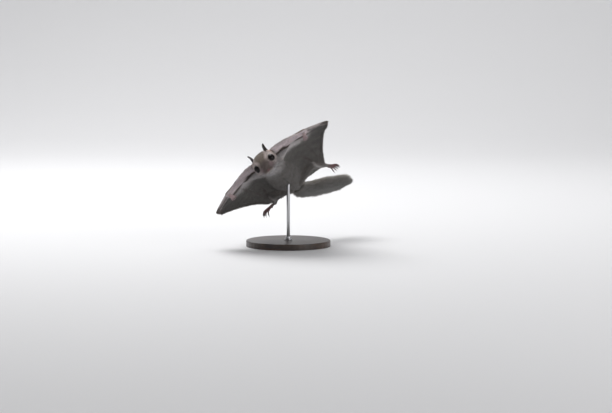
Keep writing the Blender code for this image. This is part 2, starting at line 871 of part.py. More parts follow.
def lock(root, out, way, up, length):
    """A flat tapered lock that leaves along out and bends towards way."""
    points = []
    for t in [share for share, _, _ in LOCK_SECTIONS] + [1.0]:
        bend = LOCK_BEND * t * t
        points.append(root + (out * (1 - bend / 2) + way * bend) * t * length)
    sections = []
    for i, (_, wide, thick) in enumerate(LOCK_SECTIONS):
        lie = (points[i + 1] - points[max(i - 1, 0)]).normalized()
        side = up.cross(lie).normalized()
        radii = (LOCK_WIDTH / 2 * wide, LOCK_THICKNESS / 2 * thick)
        sections.append(oval(points[i], side, lie.cross(side), *radii, LOCK_SEGMENTS))
    return loft("lock", sections, None, points[-1])


def side_locks(rng):
    """Locks combed out to both sides, in an upper and a lower layer."""
    locks = []
    for i in range(SIDE_LOCKS):
        t = mix(*SIDE_LOCK_SPAN, i / (SIDE_LOCKS - 1))
        centre, way, across, up = tail_axes(t)
        half_width, half_height = along(TAIL_CORE_SECTIONS, t)
        reach = along(LOCK_REACH, t)[0]
        for side in (-1, 1):
            for layer in (-1, 1):
                slant = mix(ROOT_SLANT, TIP_SLANT, t) + rng.uniform(-0.05, 0.05)
                out = across * side * math.sin(slant) + way * math.cos(slant) + up * layer * 0.05
                root = centre + across * side * half_width * 0.45 + up * layer * half_height * 0.42
                root += way * rng.uniform(-0.8, 0.8)
                length = LOCK_LENGTH * reach * rng.uniform(0.93, 1.05)
                locks.append(lock(root, out.normalized(), way, up, length))
    return locks


def ridge_locks(rng):
    """Locks that lie back along the middle of the tail, above and below."""
    locks = []
    for i in range(RIDGE_LOCKS):
        t = mix(*RIDGE_LOCK_SPAN, i / (RIDGE_LOCKS - 1))
        centre, way, across, up = tail_axes(t)
        _, half_height = along(TAIL_CORE_SECTIONS, t)
        for layer in (-1, 1):
            out = (way + up * layer * 0.10 + across * rng.uniform(-0.08, 0.08)).normalized()
            root = centre + up * layer * half_height * 0.62 + across * rng.uniform(-1.2, 1.2)
            length = LOCK_LENGTH * RIDGE_LOCK_SHARE * rng.uniform(0.9, 1.1)
            locks.append(lock(root, out, way, up, length))
    return locks


def tip_locks():
    """Locks fanned out past the end of the core."""
    centre, way, across, up = tail_axes(TIP_LOCK_PLACE)
    locks = []
    for i in range(TIP_LOCKS):
        place = 2 * i / (TIP_LOCKS - 1) - 1
        angle = math.radians(TIP_LOCK_FAN) * place
        out = way * math.cos(angle) + across * math.sin(angle)
        root = centre + across * place * 3.0 + up * (0.7 if i % 2 else -0.7)
        locks.append(lock(root, out, way, up, LOCK_LENGTH * (0.96 - 0.26 * abs(place))))
    return locks


def tail():
    """The flat tail: a core with overlapping locks to both sides, along its ridge and past its tip."""
    rng = random.Random(TAIL_SEED)
    form = tail_core()
    join(form, side_locks(rng) + ridge_locks(rng) + tip_locks(), "MANIFOLD")
    return form


# Stand and pose


def glide():
    """Turns the body frame, in millimetres, into the banked pose over the stand, in metres."""
    turn = Matrix.Rotation(math.radians(-TILT), 4, "X")
    turn = turn @ Matrix.Rotation(math.radians(-ROLL), 4, "Y")
    turn = turn @ Matrix.Rotation(math.radians(-YAW), 4, "Z")
    turn = turn @ Matrix.Rotation(math.radians(-PITCH), 4, "X")
    place = Matrix.Translation(Vector((0, 0, HELD_HEIGHT)) - turn @ HELD_AT)
    return Matrix.Scale(MM, 4) @ place @ turn


def stand_base():
    """A round base with a softened rim."""
    height = BASE_HEIGHT * MM
    bm = bmesh.new()
    bmesh.ops.create_cone(
        bm,
        cap_ends=True,
        segments=48,
        radius1=BASE_RADIUS * MM,
        radius2=BASE_RADIUS * MM,
        depth=height,
        matrix=Matrix.Translation((0, 0, height / 2)),
    )
    rim = [edge for edge in bm.edges if min(vert.co.z for vert in edge.verts) > height * 0.9]
    bmesh.ops.bevel(bm, geom=rim, offset=BASE_ROUNDING * MM, segments=2, profile=0.5, affect="EDGES")
    return new_solid("stand_base", bm)


def stand_rod():
    """A rod from the base to the belly, cut to the belly's curve."""
    top = HELD_HEIGHT * MM
    bottom = (BASE_HEIGHT + GAP) * MM
    bm = bmesh.new()
    bmesh.ops.create_cone(
        bm,
        cap_ends=True,
        segments=20,
        radius1=ROD_RADIUS * MM,
        radius2=ROD_RADIUS * MM,
        depth=top - bottom,
        matrix=Matrix.Translation((0, 0, (top + bottom) / 2)),
    )
    rod = new_solid("stand_rod", bm)
    belly = grown_trunk()
    belly.data.transform(glide())
    cut(rod, [belly])
    return rod


def build():
    for old in list(bpy.data.objects):
        bpy.data.objects.remove(old)
    new_collection("flying_squirrel")
    new_collection("cutters").hide_render = True
    body_pose = new_pose("glide", glide())
    head_pose = new_pose("head_tilt", head_matrix(), body_pose)

    keep(head(), "face_fur", head_pose)
    keep(neck(), "back_fur", body_pose)
    keep(trunk("torso", NECK_END, TRUNK_END, TRUNK_RINGS), "back_fur", body_pose)
    keep(tail(), "tail_fur", body_pose)
    for label, side in SIDES:
        keep(eyeball(f"eye_{label}", side), "eye", head_pose)
        keep(ear(f"ear_{label}", side), "ear_skin", head_pose)

        arm = upper_arm(f"upper_arm_{label}", side)
        cut(arm, [grown_trunk()])
        keep(arm, "back_fur", body_pose)
        lower_arm = forearm(f"forearm_{label}", side)
        cut(lower_arm, [upper_arm("arm", side, GAP)])
        keep(lower_arm, "back_fur", body_pose)
        keep(hand(f"hand_{label}", side), "bare_skin", body_pose)

        leg = thigh(f"thigh_{label}", side)
        cut(leg, [grown_trunk()])
        keep(leg, "back_fur", body_pose)
        lower_leg = shank(f"shank_{label}", side)
        cut(lower_leg, [thigh("thigh", side, GAP), grown_trunk()])
        keep(lower_leg, "back_fur", body_pose)
        keep(foot(f"foot_{label}", side), "bare_skin", body_pose)

        keep(part_from_body(wing(f"patagium_{label}", side), side), "under_fur", body_pose)
        keep(part_from_body(fore_web(f"propatagium_{label}", side), side), "under_fur", body_pose)
        keep(part_from_body(hind_web(f"uropatagium_{label}", side), side), "under_fur", body_pose)

    keep(stand_base(), "stand")
    keep(stand_rod(), "rod")


build()
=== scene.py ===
"""Looks of a life-size flying squirrel in a banked glide, on its round display stand.

One skin replaces the flesh of the fixed model, and solid tufts grow on it along the lie of the coat.
The animal's own body frame is in millimetres: X to its left, Y from head to tail, Z from belly to back.
"""

import math
from collections import namedtuple

import bmesh
import bpy
import numpy as np
from bpy.props import FloatProperty, FloatVectorProperty, IntProperty, PointerProperty
from bpy.types import Operator, Panel, PropertyGroup
from mathutils import Matrix, Vector
from mathutils.bvhtree import BVHTree


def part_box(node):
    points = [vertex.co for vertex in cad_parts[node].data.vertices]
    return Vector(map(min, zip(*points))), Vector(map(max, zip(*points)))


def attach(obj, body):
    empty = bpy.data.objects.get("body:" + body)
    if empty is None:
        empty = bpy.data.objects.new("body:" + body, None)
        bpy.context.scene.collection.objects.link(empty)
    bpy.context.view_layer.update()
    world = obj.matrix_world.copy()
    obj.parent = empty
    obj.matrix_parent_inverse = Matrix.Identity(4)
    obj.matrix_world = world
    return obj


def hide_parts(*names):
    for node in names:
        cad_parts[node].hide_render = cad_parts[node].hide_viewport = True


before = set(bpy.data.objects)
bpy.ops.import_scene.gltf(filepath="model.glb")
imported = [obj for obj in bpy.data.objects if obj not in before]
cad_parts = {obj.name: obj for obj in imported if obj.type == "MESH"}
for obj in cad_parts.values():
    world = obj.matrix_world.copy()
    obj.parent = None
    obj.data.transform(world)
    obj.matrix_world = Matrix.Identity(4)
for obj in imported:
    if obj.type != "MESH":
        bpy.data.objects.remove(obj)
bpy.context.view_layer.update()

bl_info = {
    "name": "Flying squirrel looks",
    "version": (1, 0, 0),
    "blender": (4, 5, 0),
    "location": "3D View > Sidebar > Flying squirrel",
    "description": "Skin, coat, eyes, paws and stand of a life-size gliding squirrel",
    "category": "Object",
}

MM = 0.001
WELD = 1e-4
FULL_TURN = 2 * math.pi
SIDES = (("left", 1.0), ("right", -1.0))

# Pose of body and head over the stand, in degrees and millimetres, as the fixed model has it
PITCH = 26.0
YAW = 6.5
ROLL = 39.5
CAMERA_TILT = 6.0
HELD_AT = Vector((0.0, 52.0, -6.0))
HELD_HEIGHT = 86.0
HEAD_PITCH = 32.0
HEAD_ROLL = 1.4
ATLAS = Vector((0.0, -12.0, 4.0))
EYES_FROM_ATLAS = Vector((0.0, -22.0, 2.0))

# Joints in the body frame, those of each side given as if on the left
SHOULDER = Vector((11.0, -3.0, -0.5))
ELBOW = Vector((38.0, -20.5, 3.2))
WRIST = Vector((64.5, -22.0, -0.8))
WING_TIP = Vector((95.5, 1.5, 0.0))
KNEE = {1.0: Vector((32.0, 72.0, 2.5)), -1.0: Vector((28.0, 68.0, 2.5))}
ANKLE = {1.0: Vector((47.5, 99.0, 0.5)), -1.0: Vector((35.5, 88.5, 0.5))}

# Face, in the head's frame: origin between the eyes, muzzle towards -Y
EYE_CENTRE = Vector((10.6, -4.0, 0.6))
EYE_GAZE = Vector((0.68, -0.70, 0.20)).normalized()
EYE_BED_RADIUS = 4.95
EYE_GAP = 0.20
EYE_BULGE = 0.35
LID_OPENING = math.radians(50)
LID_SECTION = 0.1
LID_HALF_ANGLE = 0.065
LID_HALF_THICKNESS = 0.21
NOSE_CENTRE = Vector((0.0, -18.7, -8.1))
NOSE_RADII = Vector((2.5, 1.6, 1.9))
NOSTRIL = Vector((1.5, -19.8, -8.3))
MOUTH_FRONT = Vector((0.0, -18.6, -11.6))
MOUTH_MIDDLE = Vector((7.4, -17.0, -12.6))
MOUTH_CORNER = Vector((7.8, -9.2, -11.0))
WHISKER_PAD = Vector((5.4, -15.6, -8.8))
EAR_ROOT = Vector((12.3, 6.5, 8.6))
EAR_LENGTH = 17.5
EAR_SUNK = 3.0
EAR_HALF_WIDTH = 6.2
EAR_WIDEST = 0.42
EAR_OVAL_END = 1.02
EAR_CURL = (1.15, 0.50)
EAR_DEPTH = 0.60
EAR_TIP_ROUNDING = 0.08
EAR_LEAN = Vector((0.12, 0.62, 0.77)).normalized()
EAR_OPENING = Vector((0.94, -0.22, -0.10)).normalized()

# Paws: digits are length, curl and how far back each starts, inner digit first
PAW_SHAPE = "name joint way curl_way start length radii digit_radius spread digits claw_radius"
# The coat's colour on the paw, and where along it the tips darken, that colour fades and the cuff ends
PAW_LOOK = " coat tips fade cuff"
Paw = namedtuple("Paw", PAW_SHAPE + PAW_LOOK)
HAND = Paw(
    name="hand",
    joint={1.0: WRIST, -1.0: WRIST},
    way=dict.fromkeys((1.0, -1.0), Vector((-0.30, -0.25, -0.92)).normalized()),
    curl_way=Vector((0.25, 0.92, -0.20)),
    start=2.2,
    length=7.0,
    radii=(1.8, 2.9),
    digit_radius=0.80,
    spread=13.0,
    digits=((6.0, 0.75, 0.0), (7.2, 0.75, 0.0), (7.1, 0.75, 0.0), (5.9, 0.75, 0.0)),
    claw_radius=0.42,
    coat="strip",
    tips=(7.0, 15.0),
    fade=(3.0, -2.0),
    cuff=(3.0, -1.0),
)
FOOT = Paw(
    name="foot",
    joint=ANKLE,
    way={1.0: Vector((0.30, 0.94, 0.0)).normalized(), -1.0: Vector((0.93, 0.30, 0.06)).normalized()},
    curl_way=Vector((0.0, 0.0, -1.0)),
    start=1.0,
    length=17.0,
    radii=(2.2, 3.5),
    digit_radius=0.95,
    spread=12.0,
    digits=((7.0, 0.9, 2.2), (9.0, 0.7, 0.0), (9.6, 0.62, 0.0), (9.0, 0.7, 0.0), (7.4, 0.9, 1.4)),
    claw_radius=0.50,
    coat="under",
    tips=(14.45, 25.0),
    fade=(12.75, -1.0),
    cuff=(11.9, -1.0),
)
CLAW_START = 0.72
CLAW_END = 0.985
PAW_HAIR_ON_A_MM2 = 9.0

# Tail
TRUNK_END = 92.3
TAIL_LENGTH = 108.0
TAIL_ROOT_HEIGHT = 0.2
TAIL_TURN = 28.0
TAIL_DROOP = -5.0
TAIL_STEPS = 48
TAIL_CORE_END = 0.97
TAIL_CORE_SECTIONS = (
    # share of the length, half width, half height
    (0.0, 5.4, 4.2),
    (0.10, 5.6, 3.6),
    (0.35, 5.8, 2.6),
    (0.65, 5.2, 2.2),
    (0.88, 3.4, 1.6),
    (1.0, 1.2, 0.9),
)
TAIL_REACH = (
    # share of the length, share of the full hair
    (0.0, 0.46),
    (0.15, 0.72),
    (0.35, 0.95),
    (0.60, 1.0),
    (0.85, 0.95),
    (1.0, 0.86),
)

# Regions of the skin, named by the solids they lie in, and how the coat grows on each
Region = namedtuple("Region", "solids depth hair width tufts lift")
REGIONS = {
    # solids, skin depth, hair length, tuft width, tufts on a square millimetre, lift in degrees
    "head": Region(("head",), "head_depth", "face_hair", 0.20, 6.6, 15.0),
    "trunk": Region(("neck", "torso", "tail"), "trunk_depth", "body_hair", 0.34, 3.3, 17.0),
    "upper_arm": Region(("upper_arm",), "limb_depth", "limb_hair", 0.29, 3.2, 15.0),
    "forearm": Region(("forearm", "hand"), "limb_depth", "limb_hair", 0.25, 3.8, 13.0),
    "thigh": Region(("thigh",), "limb_depth", "body_hair", 0.32, 3.2, 15.0),
    "shank": Region(("shank", "foot"), "limb_depth", "limb_hair", 0.27, 3.6, 13.0),
    "lead": Region(("propatagium",), "web_depth", "web_hair", 0.26, 4.4, 16.0),
    "wing": Region(("patagium",), "web_depth", "web_hair", 0.26, 1.42, 9.0),
    "hind": Region(("uropatagium",), "web_depth", "web_hair", 0.28, 1.8, 10.0),
}
# Marks on the arm's underside: distance out, the place of the dark line of painted shadow between arm and
# membrane, its half width and the pale strip's end
ARM_MARKS = (
    (8.0, -14.0, 1.5, 3.0),
    (19.0, -17.5, 1.5, 9.0),
    (29.0, -20.0, 1.6, 17.0),
    (37.0, -17.5, 2.0, 20.0),
    (42.0, -8.0, 3.2, 21.0),
    (47.0, -3.0, 3.8, 21.0),
    (54.0, 0.0, 3.8, 20.0),
    (61.0, 1.5, 3.4, 18.0),
    (68.0, 0.0, 2.8, 11.0),
)
# Each membrane's rear edge: place from head to tail, and distance out
REAR_EDGE = {
    1.0: ((0.0, 95.0), (16.0, 87.7), (24.0, 81.1), (40.0, 72.1), (64.0, 60.5), (88.0, 51.3)),
    -1.0: ((8.0, 94.1), (16.0, 92.4), (24.0, 85.1), (40.0, 71.4), (56.0, 59.1), (72.0, 49.6), (80.0, 46.2)),
}
REGION_NAMES = tuple(REGIONS)
FLESH = ("head", "neck", "torso")
SIDE_FLESH = tuple(
    f"{name}_{label}"
    for label, _ in SIDES
    for name in ("upper_arm", "forearm", "thigh", "shank", "patagium", "propatagium", "uropatagium")
)
PAW_WRIST = 3.0
CREASE_DEPTH = 0.7
MOUTH_DEPTH = 0.8
SKIN_DARKER = 0.75

# How strongly each marking covers the colour under it; arm_line, rear_edge, creases and fold are painted
# shade, crown is painted shade on the head's top, and shin is partly a painted highlight
COVER = {
    "belly_throat": 0.8,
    "strip": 0.95,
    "shank": 0.30,
    "outer_wing": 0.16,
    "arm_line": 0.95,
    "spur": 0.92,
    "wing_tip": 0.8,
    "rear_edge": 0.45,
    "creases": 0.30,
    "fold": 0.55,
    "shin": 0.70,
    "crown": 0.27,
    "muzzle": 0.92,
    "brow_patch": 0.8,
    "mauve": 0.7,
    "eye_corner": 0.35,
    "ear_base": 0.8,
    "mouth": 0.7,
    "paw_root": 0.9,
}
# Streaks on the spur: place behind the arm's middle line, width and colour
SPUR_STREAKS = ((-2.0, 2.2, "lead"), (2.6, 1.7, "shade"), (6.4, 1.6, "lead"))

# Clumps of tufts: their size and how far their tips are drawn together
CLUMPS = {
    "head": (0.8, 0.28),
    "wing": (1.0, 0.12),
    "body": (1.9, 0.40),
    "tail": (2.6, 0.45),
    "ear": (0.6, 0.1),
    "paw": (0.7, 0.25),
}
# Tufts: where their rings of corners are, their shades, and their places on the unwrapped skin
RINGS = (0.0, 0.5)
TAIL_RINGS = (0.0, 0.45)
TAIL_TUFTS = 27000
ROOT_TO_TIP = (0.72, 1.12)
UNWRAP_VOXEL = 0.0030
PATCH = 0.003

# Whiskers of brow and cheek: first root, step to the next, way, share of the longest and how many
OTHER_WHISKERS = (
    (Vector((8.6, -9.4, 4.6)), Vector((1.0, 1.2, 0.7)), Vector((0.35, 0.1, 0.9)), 0.55, 3),
    (Vector((12.4, -2.5, -8.6)), Vector((0.0, 2.5, 0.0)), Vector((0.8, 0.4, -0.4)), 0.6, 2),
)

# Stand, in millimetres
ROD_INTO_COAT = 2.4
ROD_CLEARANCE = 0.3
COLLAR_HEIGHT = 4.6
COLLAR_SUNK = 0.25

# Stage, in metres and in pixels of the photo
FLOOR_HALF_WIDTH = 6.0
FLOOR_BEHIND = 7.0
FLOOR_FRONT = -5.6
FLOOR_RUN = 10.0
PHOTO_WIDTH = 612
PHOTO_HEIGHT = 413
SENSOR_WIDTH = 36


def colour_property(name, description, default):
    """A setting that is a display colour."""
    return FloatVectorProperty(
        name=name, description=description, default=default, size=3, min=0.0, max=1.0, subtype="COLOR_GAMMA"
    )


def length_property(name, description, default):
    """A setting that is a length."""
    return number_property(name, description, default, unit="LENGTH", precision=5)


def number_property(name, description, default, **settings):
    """A setting that is a number of nought or more."""
    return FloatProperty(name=name, description=description, default=default, min=0.0, **settings)


class SkinSettings(PropertyGroup):
    """Sizes of the skin under the coat."""

    voxel: length_property("Detail", "Size of the skin's smallest faces", 0.00093)
    fill: length_property("Fill", "How far flesh grows to close the gaps between solids", 0.0002)
    head_depth: length_property("Head depth", "Depth of the skin under the face's coat", 0.0006)
    trunk_depth: length_property("Trunk depth", "Depth of the skin under the trunk's coat", 0.0021)
    limb_depth: length_property("Limb depth", "Depth of the skin under the coat of the limbs", 0.0011)
    web_depth: length_property("Membrane depth", "Depth of the skin under the membranes' coat", 0.0005)


class CoatSettings(PropertyGroup):
    """Lengths and colours of the coat."""

    seed: IntProperty(name="Seed", description="Start of the random draw", default=11)
    thickness: number_property("Fullness", "Share of the full number of tufts", 1.0)
    body_hair: length_property("Body hair", "Hair length on the trunk and thighs", 0.0074)
    limb_hair: length_property("Limb hair", "Hair length on the limbs", 0.0042)
    web_hair: length_property("Membrane hair", "Hair length on the membranes", 0.0034)
    face_hair: length_property("Face hair", "Longest hair on the head", 0.0030)
    tail_hair: length_property("Tail hair", "Longest hair of the tail", 0.0250)
    back: colour_property("Back", "Coat of the back", (0.50, 0.455, 0.41))
    # Belly and membranes are darker than their real pale coat: partly their own tone, partly painted shade of
    # the underside.
    under: colour_property("Underside", "Coat of the belly", (0.40, 0.378, 0.362))
    membrane: colour_property("Membrane", "Underside of the membranes", (0.335, 0.322, 0.308))
    throat: colour_property("Throat", "Coat of the chin, throat and belly's front", (0.745, 0.73, 0.735))
    strip: colour_property("Strip", "Pale strip behind the arm's dark line", (0.78, 0.76, 0.76))
    lead: colour_property("Leading edge", "Pale band along the leading edge", (0.88, 0.83, 0.84))
    # Colour of painted shade: the dark line behind the pale band, also laid on as painted shade in creases,
    # folds and along the membranes' rear edges, and used on the spur, the wing tip and the tail's end.
    shade: colour_property("Shadow line", "Painted shadow line behind the pale band", (0.24, 0.195, 0.175))
    fringe: colour_property("Fringe", "Pale hair tips on edges", (0.72, 0.69, 0.65))
    tail: colour_property("Tail", "Coat of the tail", (0.45, 0.415, 0.38))


class FaceSettings(PropertyGroup):
    """Sizes and colours of the face."""

    eye_radius: length_property("Eye radius", "Radius of the eyeball", 0.0054)
    whisker: length_property("Whiskers", "Length of the longest whiskers", 0.028)
    forehead: colour_property("Forehead", "Coat of the forehead and crown", (0.51, 0.455, 0.41))
    brow: colour_property("Brow", "Pale patch above each eye", (0.80, 0.745, 0.73))
    cheek: colour_property("Cheek", "Coat of the cheeks", (0.635, 0.60, 0.60))
    muzzle: colour_property("Muzzle", "Coat of the muzzle", (0.37, 0.32, 0.305))
    rim: colour_property("Eye ring", "Dark hair and skin around the eye", (0.09, 0.07, 0.065))
    nose: colour_property("Nose", "Bare skin of the nose", (0.36, 0.27, 0.27))
    ear: colour_property("Ears", "Skin of the ears", (0.17, 0.135, 0.13))
    ear_base: colour_property("Ear base", "Hair around the ear's root", (0.74, 0.60, 0.545))
    mauve: colour_property("Mauve", "Sides of the muzzle below the eyes", (0.56, 0.47, 0.49))
    iris: colour_property("Iris", "Iris of the eye", (0.07, 0.04, 0.03))


class PawSettings(PropertyGroup):
    """Detail and colours of hands and feet."""

    voxel: length_property("Detail", "Size of the paws' smallest faces", 0.00026)
    hand: colour_property("Hands", "Skin of the hands", (0.68, 0.60, 0.605))
    foot: colour_property("Feet", "Skin of the feet", (0.34, 0.215, 0.22))
    claw: colour_property("Claws", "Horn of the claws", (0.13, 0.10, 0.09))


class StandSettings(PropertyGroup):
    """Finish of the stand."""

    wood: colour_property("Wood", "Light grain of the base", (0.27, 0.19, 0.14))
    wood_dark: colour_property("Dark wood", "Dark grain of the base", (0.12, 0.08, 0.06))
    metal: colour_property("Rod", "Steel of the rod", (0.72, 0.72, 0.73))
    collar: length_property("Collar", "Radius of the collar at the rod's foot", 0.0052)


class StageSettings(PropertyGroup):
    """Camera, floor and lights."""

    distance: length_property("Camera distance", "From the camera to the animal", 4.0)
    view_width: length_property("View width", "Width of the view at the animal", 0.796)
    face_across: number_property("Face across", "Face's place in pixels from the left", 264.9)
    face_down: number_property("Face down", "Face's place in pixels from the top", 163.3)
    floor: colour_property("Floor", "Floor and backdrop", (0.885, 0.885, 0.89))
    key: number_property("Key light", "Power of the high light behind", 24.0, unit="POWER")
    fill: number_property("Fill light", "Power of the soft front light", 11.0, unit="POWER")
    back: number_property("Back light", "Power of the backdrop's light", 22.0, unit="POWER")
    world: number_property("Ambient", "Strength of the even light", 0.45)


# Places and curves


def in_millimetres(length):
    """A length in metres, in millimetres."""
    return length / MM


def body_matrix():
    """Turns the body frame, in millimetres, into the banked pose over the stand, in metres."""
    turn = Matrix.Rotation(math.radians(-CAMERA_TILT), 4, "X")
    turn = turn @ Matrix.Rotation(math.radians(-ROLL), 4, "Y")
    turn = turn @ Matrix.Rotation(math.radians(-YAW), 4, "Z")
    turn = turn @ Matrix.Rotation(math.radians(-PITCH), 4, "X")
    place = Matrix.Translation(Vector((0, 0, HELD_HEIGHT)) - turn @ HELD_AT)
    return Matrix.Scale(MM, 4) @ place @ turn


def head_matrix():
    """Places the head's own frame in the body frame."""
    pitch = Matrix.Rotation(math.radians(HEAD_PITCH), 4, "X")
    roll = Matrix.Rotation(math.radians(-HEAD_ROLL), 4, "Y")
    return Matrix.Translation(ATLAS) @ pitch @ roll @ Matrix.Translation(EYES_FROM_ATLAS)


BODY = body_matrix()
HEAD_IN_BODY = head_matrix()
HEAD = BODY @ HEAD_IN_BODY
BODY_TURN = np.array(BODY.to_3x3().normalized())
HEAD_TURN = np.array(HEAD_IN_BODY.to_3x3())


def moved(matrix, points):
    """An array of points moved by a matrix."""
    table = np.array(matrix)
    return points @ table[:3, :3].T + table[:3, 3]


def mirrored(point, side):
    """A point or way of the left side, on the side asked for."""
    return Vector((point.x * side, point.y, point.z))


def mix(low, high, share):
    """A value between two others, at a share of the way."""
    return low + (high - low) * share


def unit(vectors):
    """Rows of an array scaled to length one."""
    sizes = np.linalg.norm(vectors, axis=1, keepdims=True)
    return vectors / np.maximum(sizes, 1e-9)


def laid_flat(ways, normals, share=1.0):
    """Ways turned into the surface that has those normals, wholly or by a share."""
    rise = np.einsum("ij,ij->i", ways, normals) * share
    return unit(ways - normals * rise[:, None])


def bell(values, width):
    """One where values are nought, fading to nought on both sides over about that width."""
    return np.exp(-((values / width) ** 2))


def ramp(low, high, values):
    """A smooth step from nought at low to one at high."""
    share = np.clip((np.asarray(values, float) - low) / (high - low), 0.0, 1.0)
    return share * share * (3 - 2 * share)


def along(rows, share):
    """Straight-line value at a share, through rows of (share, value, ...)."""
    table = np.array(rows)
    return [np.interp(share, table[:, 0], table[:, i]) for i in range(1, table.shape[1])]


def ripple(points, size, seed):
    """Soft seeded noise from -1 to 1 on an array of points, with waves of about that size."""
    rng = np.random.default_rng(seed)
    total = np.zeros(len(points))
    for _ in range(6):
        way = rng.normal(size=3)
        way *= FULL_TURN / (size * rng.uniform(0.7, 1.5) * np.linalg.norm(way))
        total += np.sin(points @ way + rng.uniform(0, FULL_TURN))
    return total / 3.2


def tail_path():
    """Places and ways along the tail's middle line, in the body frame."""
    centre = Vector((0.0, TRUNK_END, TAIL_ROOT_HEIGHT))
    centres = [centre]
    ways = []
    for i in range(TAIL_STEPS + 1):
        share = (i + 0.5) / TAIL_STEPS
        turn = math.radians(TAIL_TURN) * float(ramp(-0.05, 0.30, share))
        droop = math.radians(TAIL_DROOP) * float(ramp(0.0, 0.5, share))
        level = Vector((math.sin(turn), math.cos(turn), 0))
        way = level * math.cos(droop) - Vector((0, 0, 1)) * math.sin(droop)
        ways.append(way)
        if i < TAIL_STEPS:
            centre = centre + way * TAIL_LENGTH / TAIL_STEPS
            centres.append(centre)
    return np.array(centres), np.array(ways)


TAIL_CENTRES, TAIL_WAYS = tail_path()


def tail_frames(shares):
    """Centres, ways, across and up of the tail at an array of shares of its length."""
    places = np.clip(np.asarray(shares, float), 0, 1) * TAIL_STEPS
    steps = np.arange(TAIL_STEPS + 1)
    centres = np.stack([np.interp(places, steps, TAIL_CENTRES[:, i]) for i in range(3)], axis=1)
    ways = unit(np.stack([np.interp(places, steps, TAIL_WAYS[:, i]) for i in range(3)], axis=1))
    across = unit(np.cross(ways, (0.0, 0.0, 1.0)))
    return centres, ways, across, np.cross(across, ways)


# Colours and materials


def linear(colour):
    """A display colour, or rows of them, as linear values."""
    colour = np.asarray(colour, float)
    return np.where(colour <= 0.04045, colour / 12.92, ((colour + 0.055) / 1.055) ** 2.4)


def new_material(name, values):
    """A Principled material with those socket values, and its shader node."""
    material = bpy.data.materials.new(name)
    material.use_nodes = True
    shader = material.node_tree.nodes["Principled BSDF"]
    for socket, value in values.items():
        shader.inputs[socket].default_value = value
    return material, shader


def add_node(material, kind, values=None, **settings):
    """A node with its settings, and values for its sockets."""
    node = material.node_tree.nodes.new(kind)
    for setting, value in settings.items():
        setattr(node, setting, value)
    for socket, value in (values or {}).items():
        node.inputs[socket].default_value = value
    return node


def link(material, source, target):
    """Leads a node's output to another's input."""
    material.node_tree.links.new(source, target)


def object_places(material, scale=(1.0, 1.0, 1.0), turned=False):
    """Object coordinates, scaled, and turned to the animal's body frame if asked."""
    source = add_node(material, "ShaderNodeTexCoord").outputs["Object"]
    mapping = add_node(material, "ShaderNodeMapping", {"Scale": scale})
    if turned:
        turn = add_node(material, "ShaderNodeMapping", vector_type="POINT")
        turn.inputs["Rotation"].default_value = BODY.to_3x3().normalized().inverted().to_euler()
        link(material, source, turn.inputs["Vector"])
        source = turn.outputs["Vector"]
    link(material, source, mapping.inputs["Vector"])
    return mapping.outputs["Vector"]


def noise(material, place, scale, detail=3.0, roughness=0.55):
    """Cloudy noise at a place."""
    values = {"Scale": scale, "Detail": detail, "Roughness": roughness}
    node = add_node(material, "ShaderNodeTexNoise", values)
    link(material, place, node.inputs["Vector"])
    return node.outputs["Fac"]


def bump(material, shader, height, distance, strength=1.0):
    """Roughens the shader's surface by a height."""
    node = add_node(material, "ShaderNodeBump", {"Distance": distance, "Strength": strength})
    link(material, height, node.inputs["Height"])
    link(material, node.outputs["Normal"], shader.inputs["Normal"])


def shaded(material, shader, source, height, low, high):
    """Multiplies a colour by a grey that follows the height, and gives it to the shader."""
    grey = add_node(material, "ShaderNodeMapRange", {"To Min": low, "To Max": high})
    link(material, height, grey.inputs["Value"])
    blend = add_node(material, "ShaderNodeMix", data_type="RGBA", blend_type="MULTIPLY")
    blend.inputs["Factor"].default_value = 1.0
    link(material, source, blend.inputs["A"])
    link(material, grey.outputs["Result"], blend.inputs["B"])
    link(material, blend.outputs["Result"], shader.inputs["Base Color"])


def painted(material):
    """The colour attribute that a piece carries."""
    return add_node(material, "ShaderNodeAttribute", attribute_name="coat").outputs["Color"]


def opaque(colour):
    """A display colour as a linear one with its alpha, as sockets take it."""
    return (*linear(colour), 1.0)


def plain(material, colour):
    """One display colour."""
    node = add_node(material, "ShaderNodeRGB")
    node.outputs["Color"].default_value = opaque(colour)
    return node.outputs["Color"]


def coat_material():
    """Hair in tufts, coloured by each tuft's own markings."""
    if "coat_hair" in bpy.data.materials:
        return bpy.data.materials["coat_hair"]
    values = {"Roughness": 0.62, "Specular IOR Level": 0.28, "Sheen Weight": 0.22, "Sheen Roughness": 0.45}
    material, shader = new_material("coat_hair", values)
    strands = noise(material, object_places(material), scale=2600.0, detail=2.0)
    shaded(material, shader, painted(material), strands, low=0.80, high=1.20)
    return material


def skin_material():
    """Skin under the coat, with the short hair that lies flat as streaks along the body."""
    values = {"Roughness": 0.75, "Specular IOR Level": 0.2, "Sheen Weight": 0.25, "Sheen Roughness": 0.5}
    material, shader = new_material("short_hair_on_skin", values)
    place = object_places(material, (2400.0, 620.0, 2400.0), turned=True)
    streaks = noise(material, place, scale=1.0, detail=4.0, roughness=0.6)
    shaded(material, shader, painted(material), streaks, low=0.66, high=1.30)
    bump(material, shader, streaks, distance=0.0006, strength=0.8)
    return material


def bare_material(name, colour, roughness, scale, depth, variation=0.16):
    """Bare skin or horn with a grain of a scale and depth, its shade varied."""
    material, shader = new_material(name, {"Roughness": roughness, "Specular IOR Level": 0.4})
    grain = noise(material, object_places(material), scale)
    shaded(material, shader, plain(material, colour), grain, 1 - variation, 1 + variation)
    bump(material, shader, grain, distance=depth, strength=0.7)
    return material


# Meshes


def in_scene(name, data):
    """A new object with that data, in the scene."""
    obj = bpy.data.objects.new(name, data)
    bpy.context.scene.collection.objects.link(obj)
    return obj


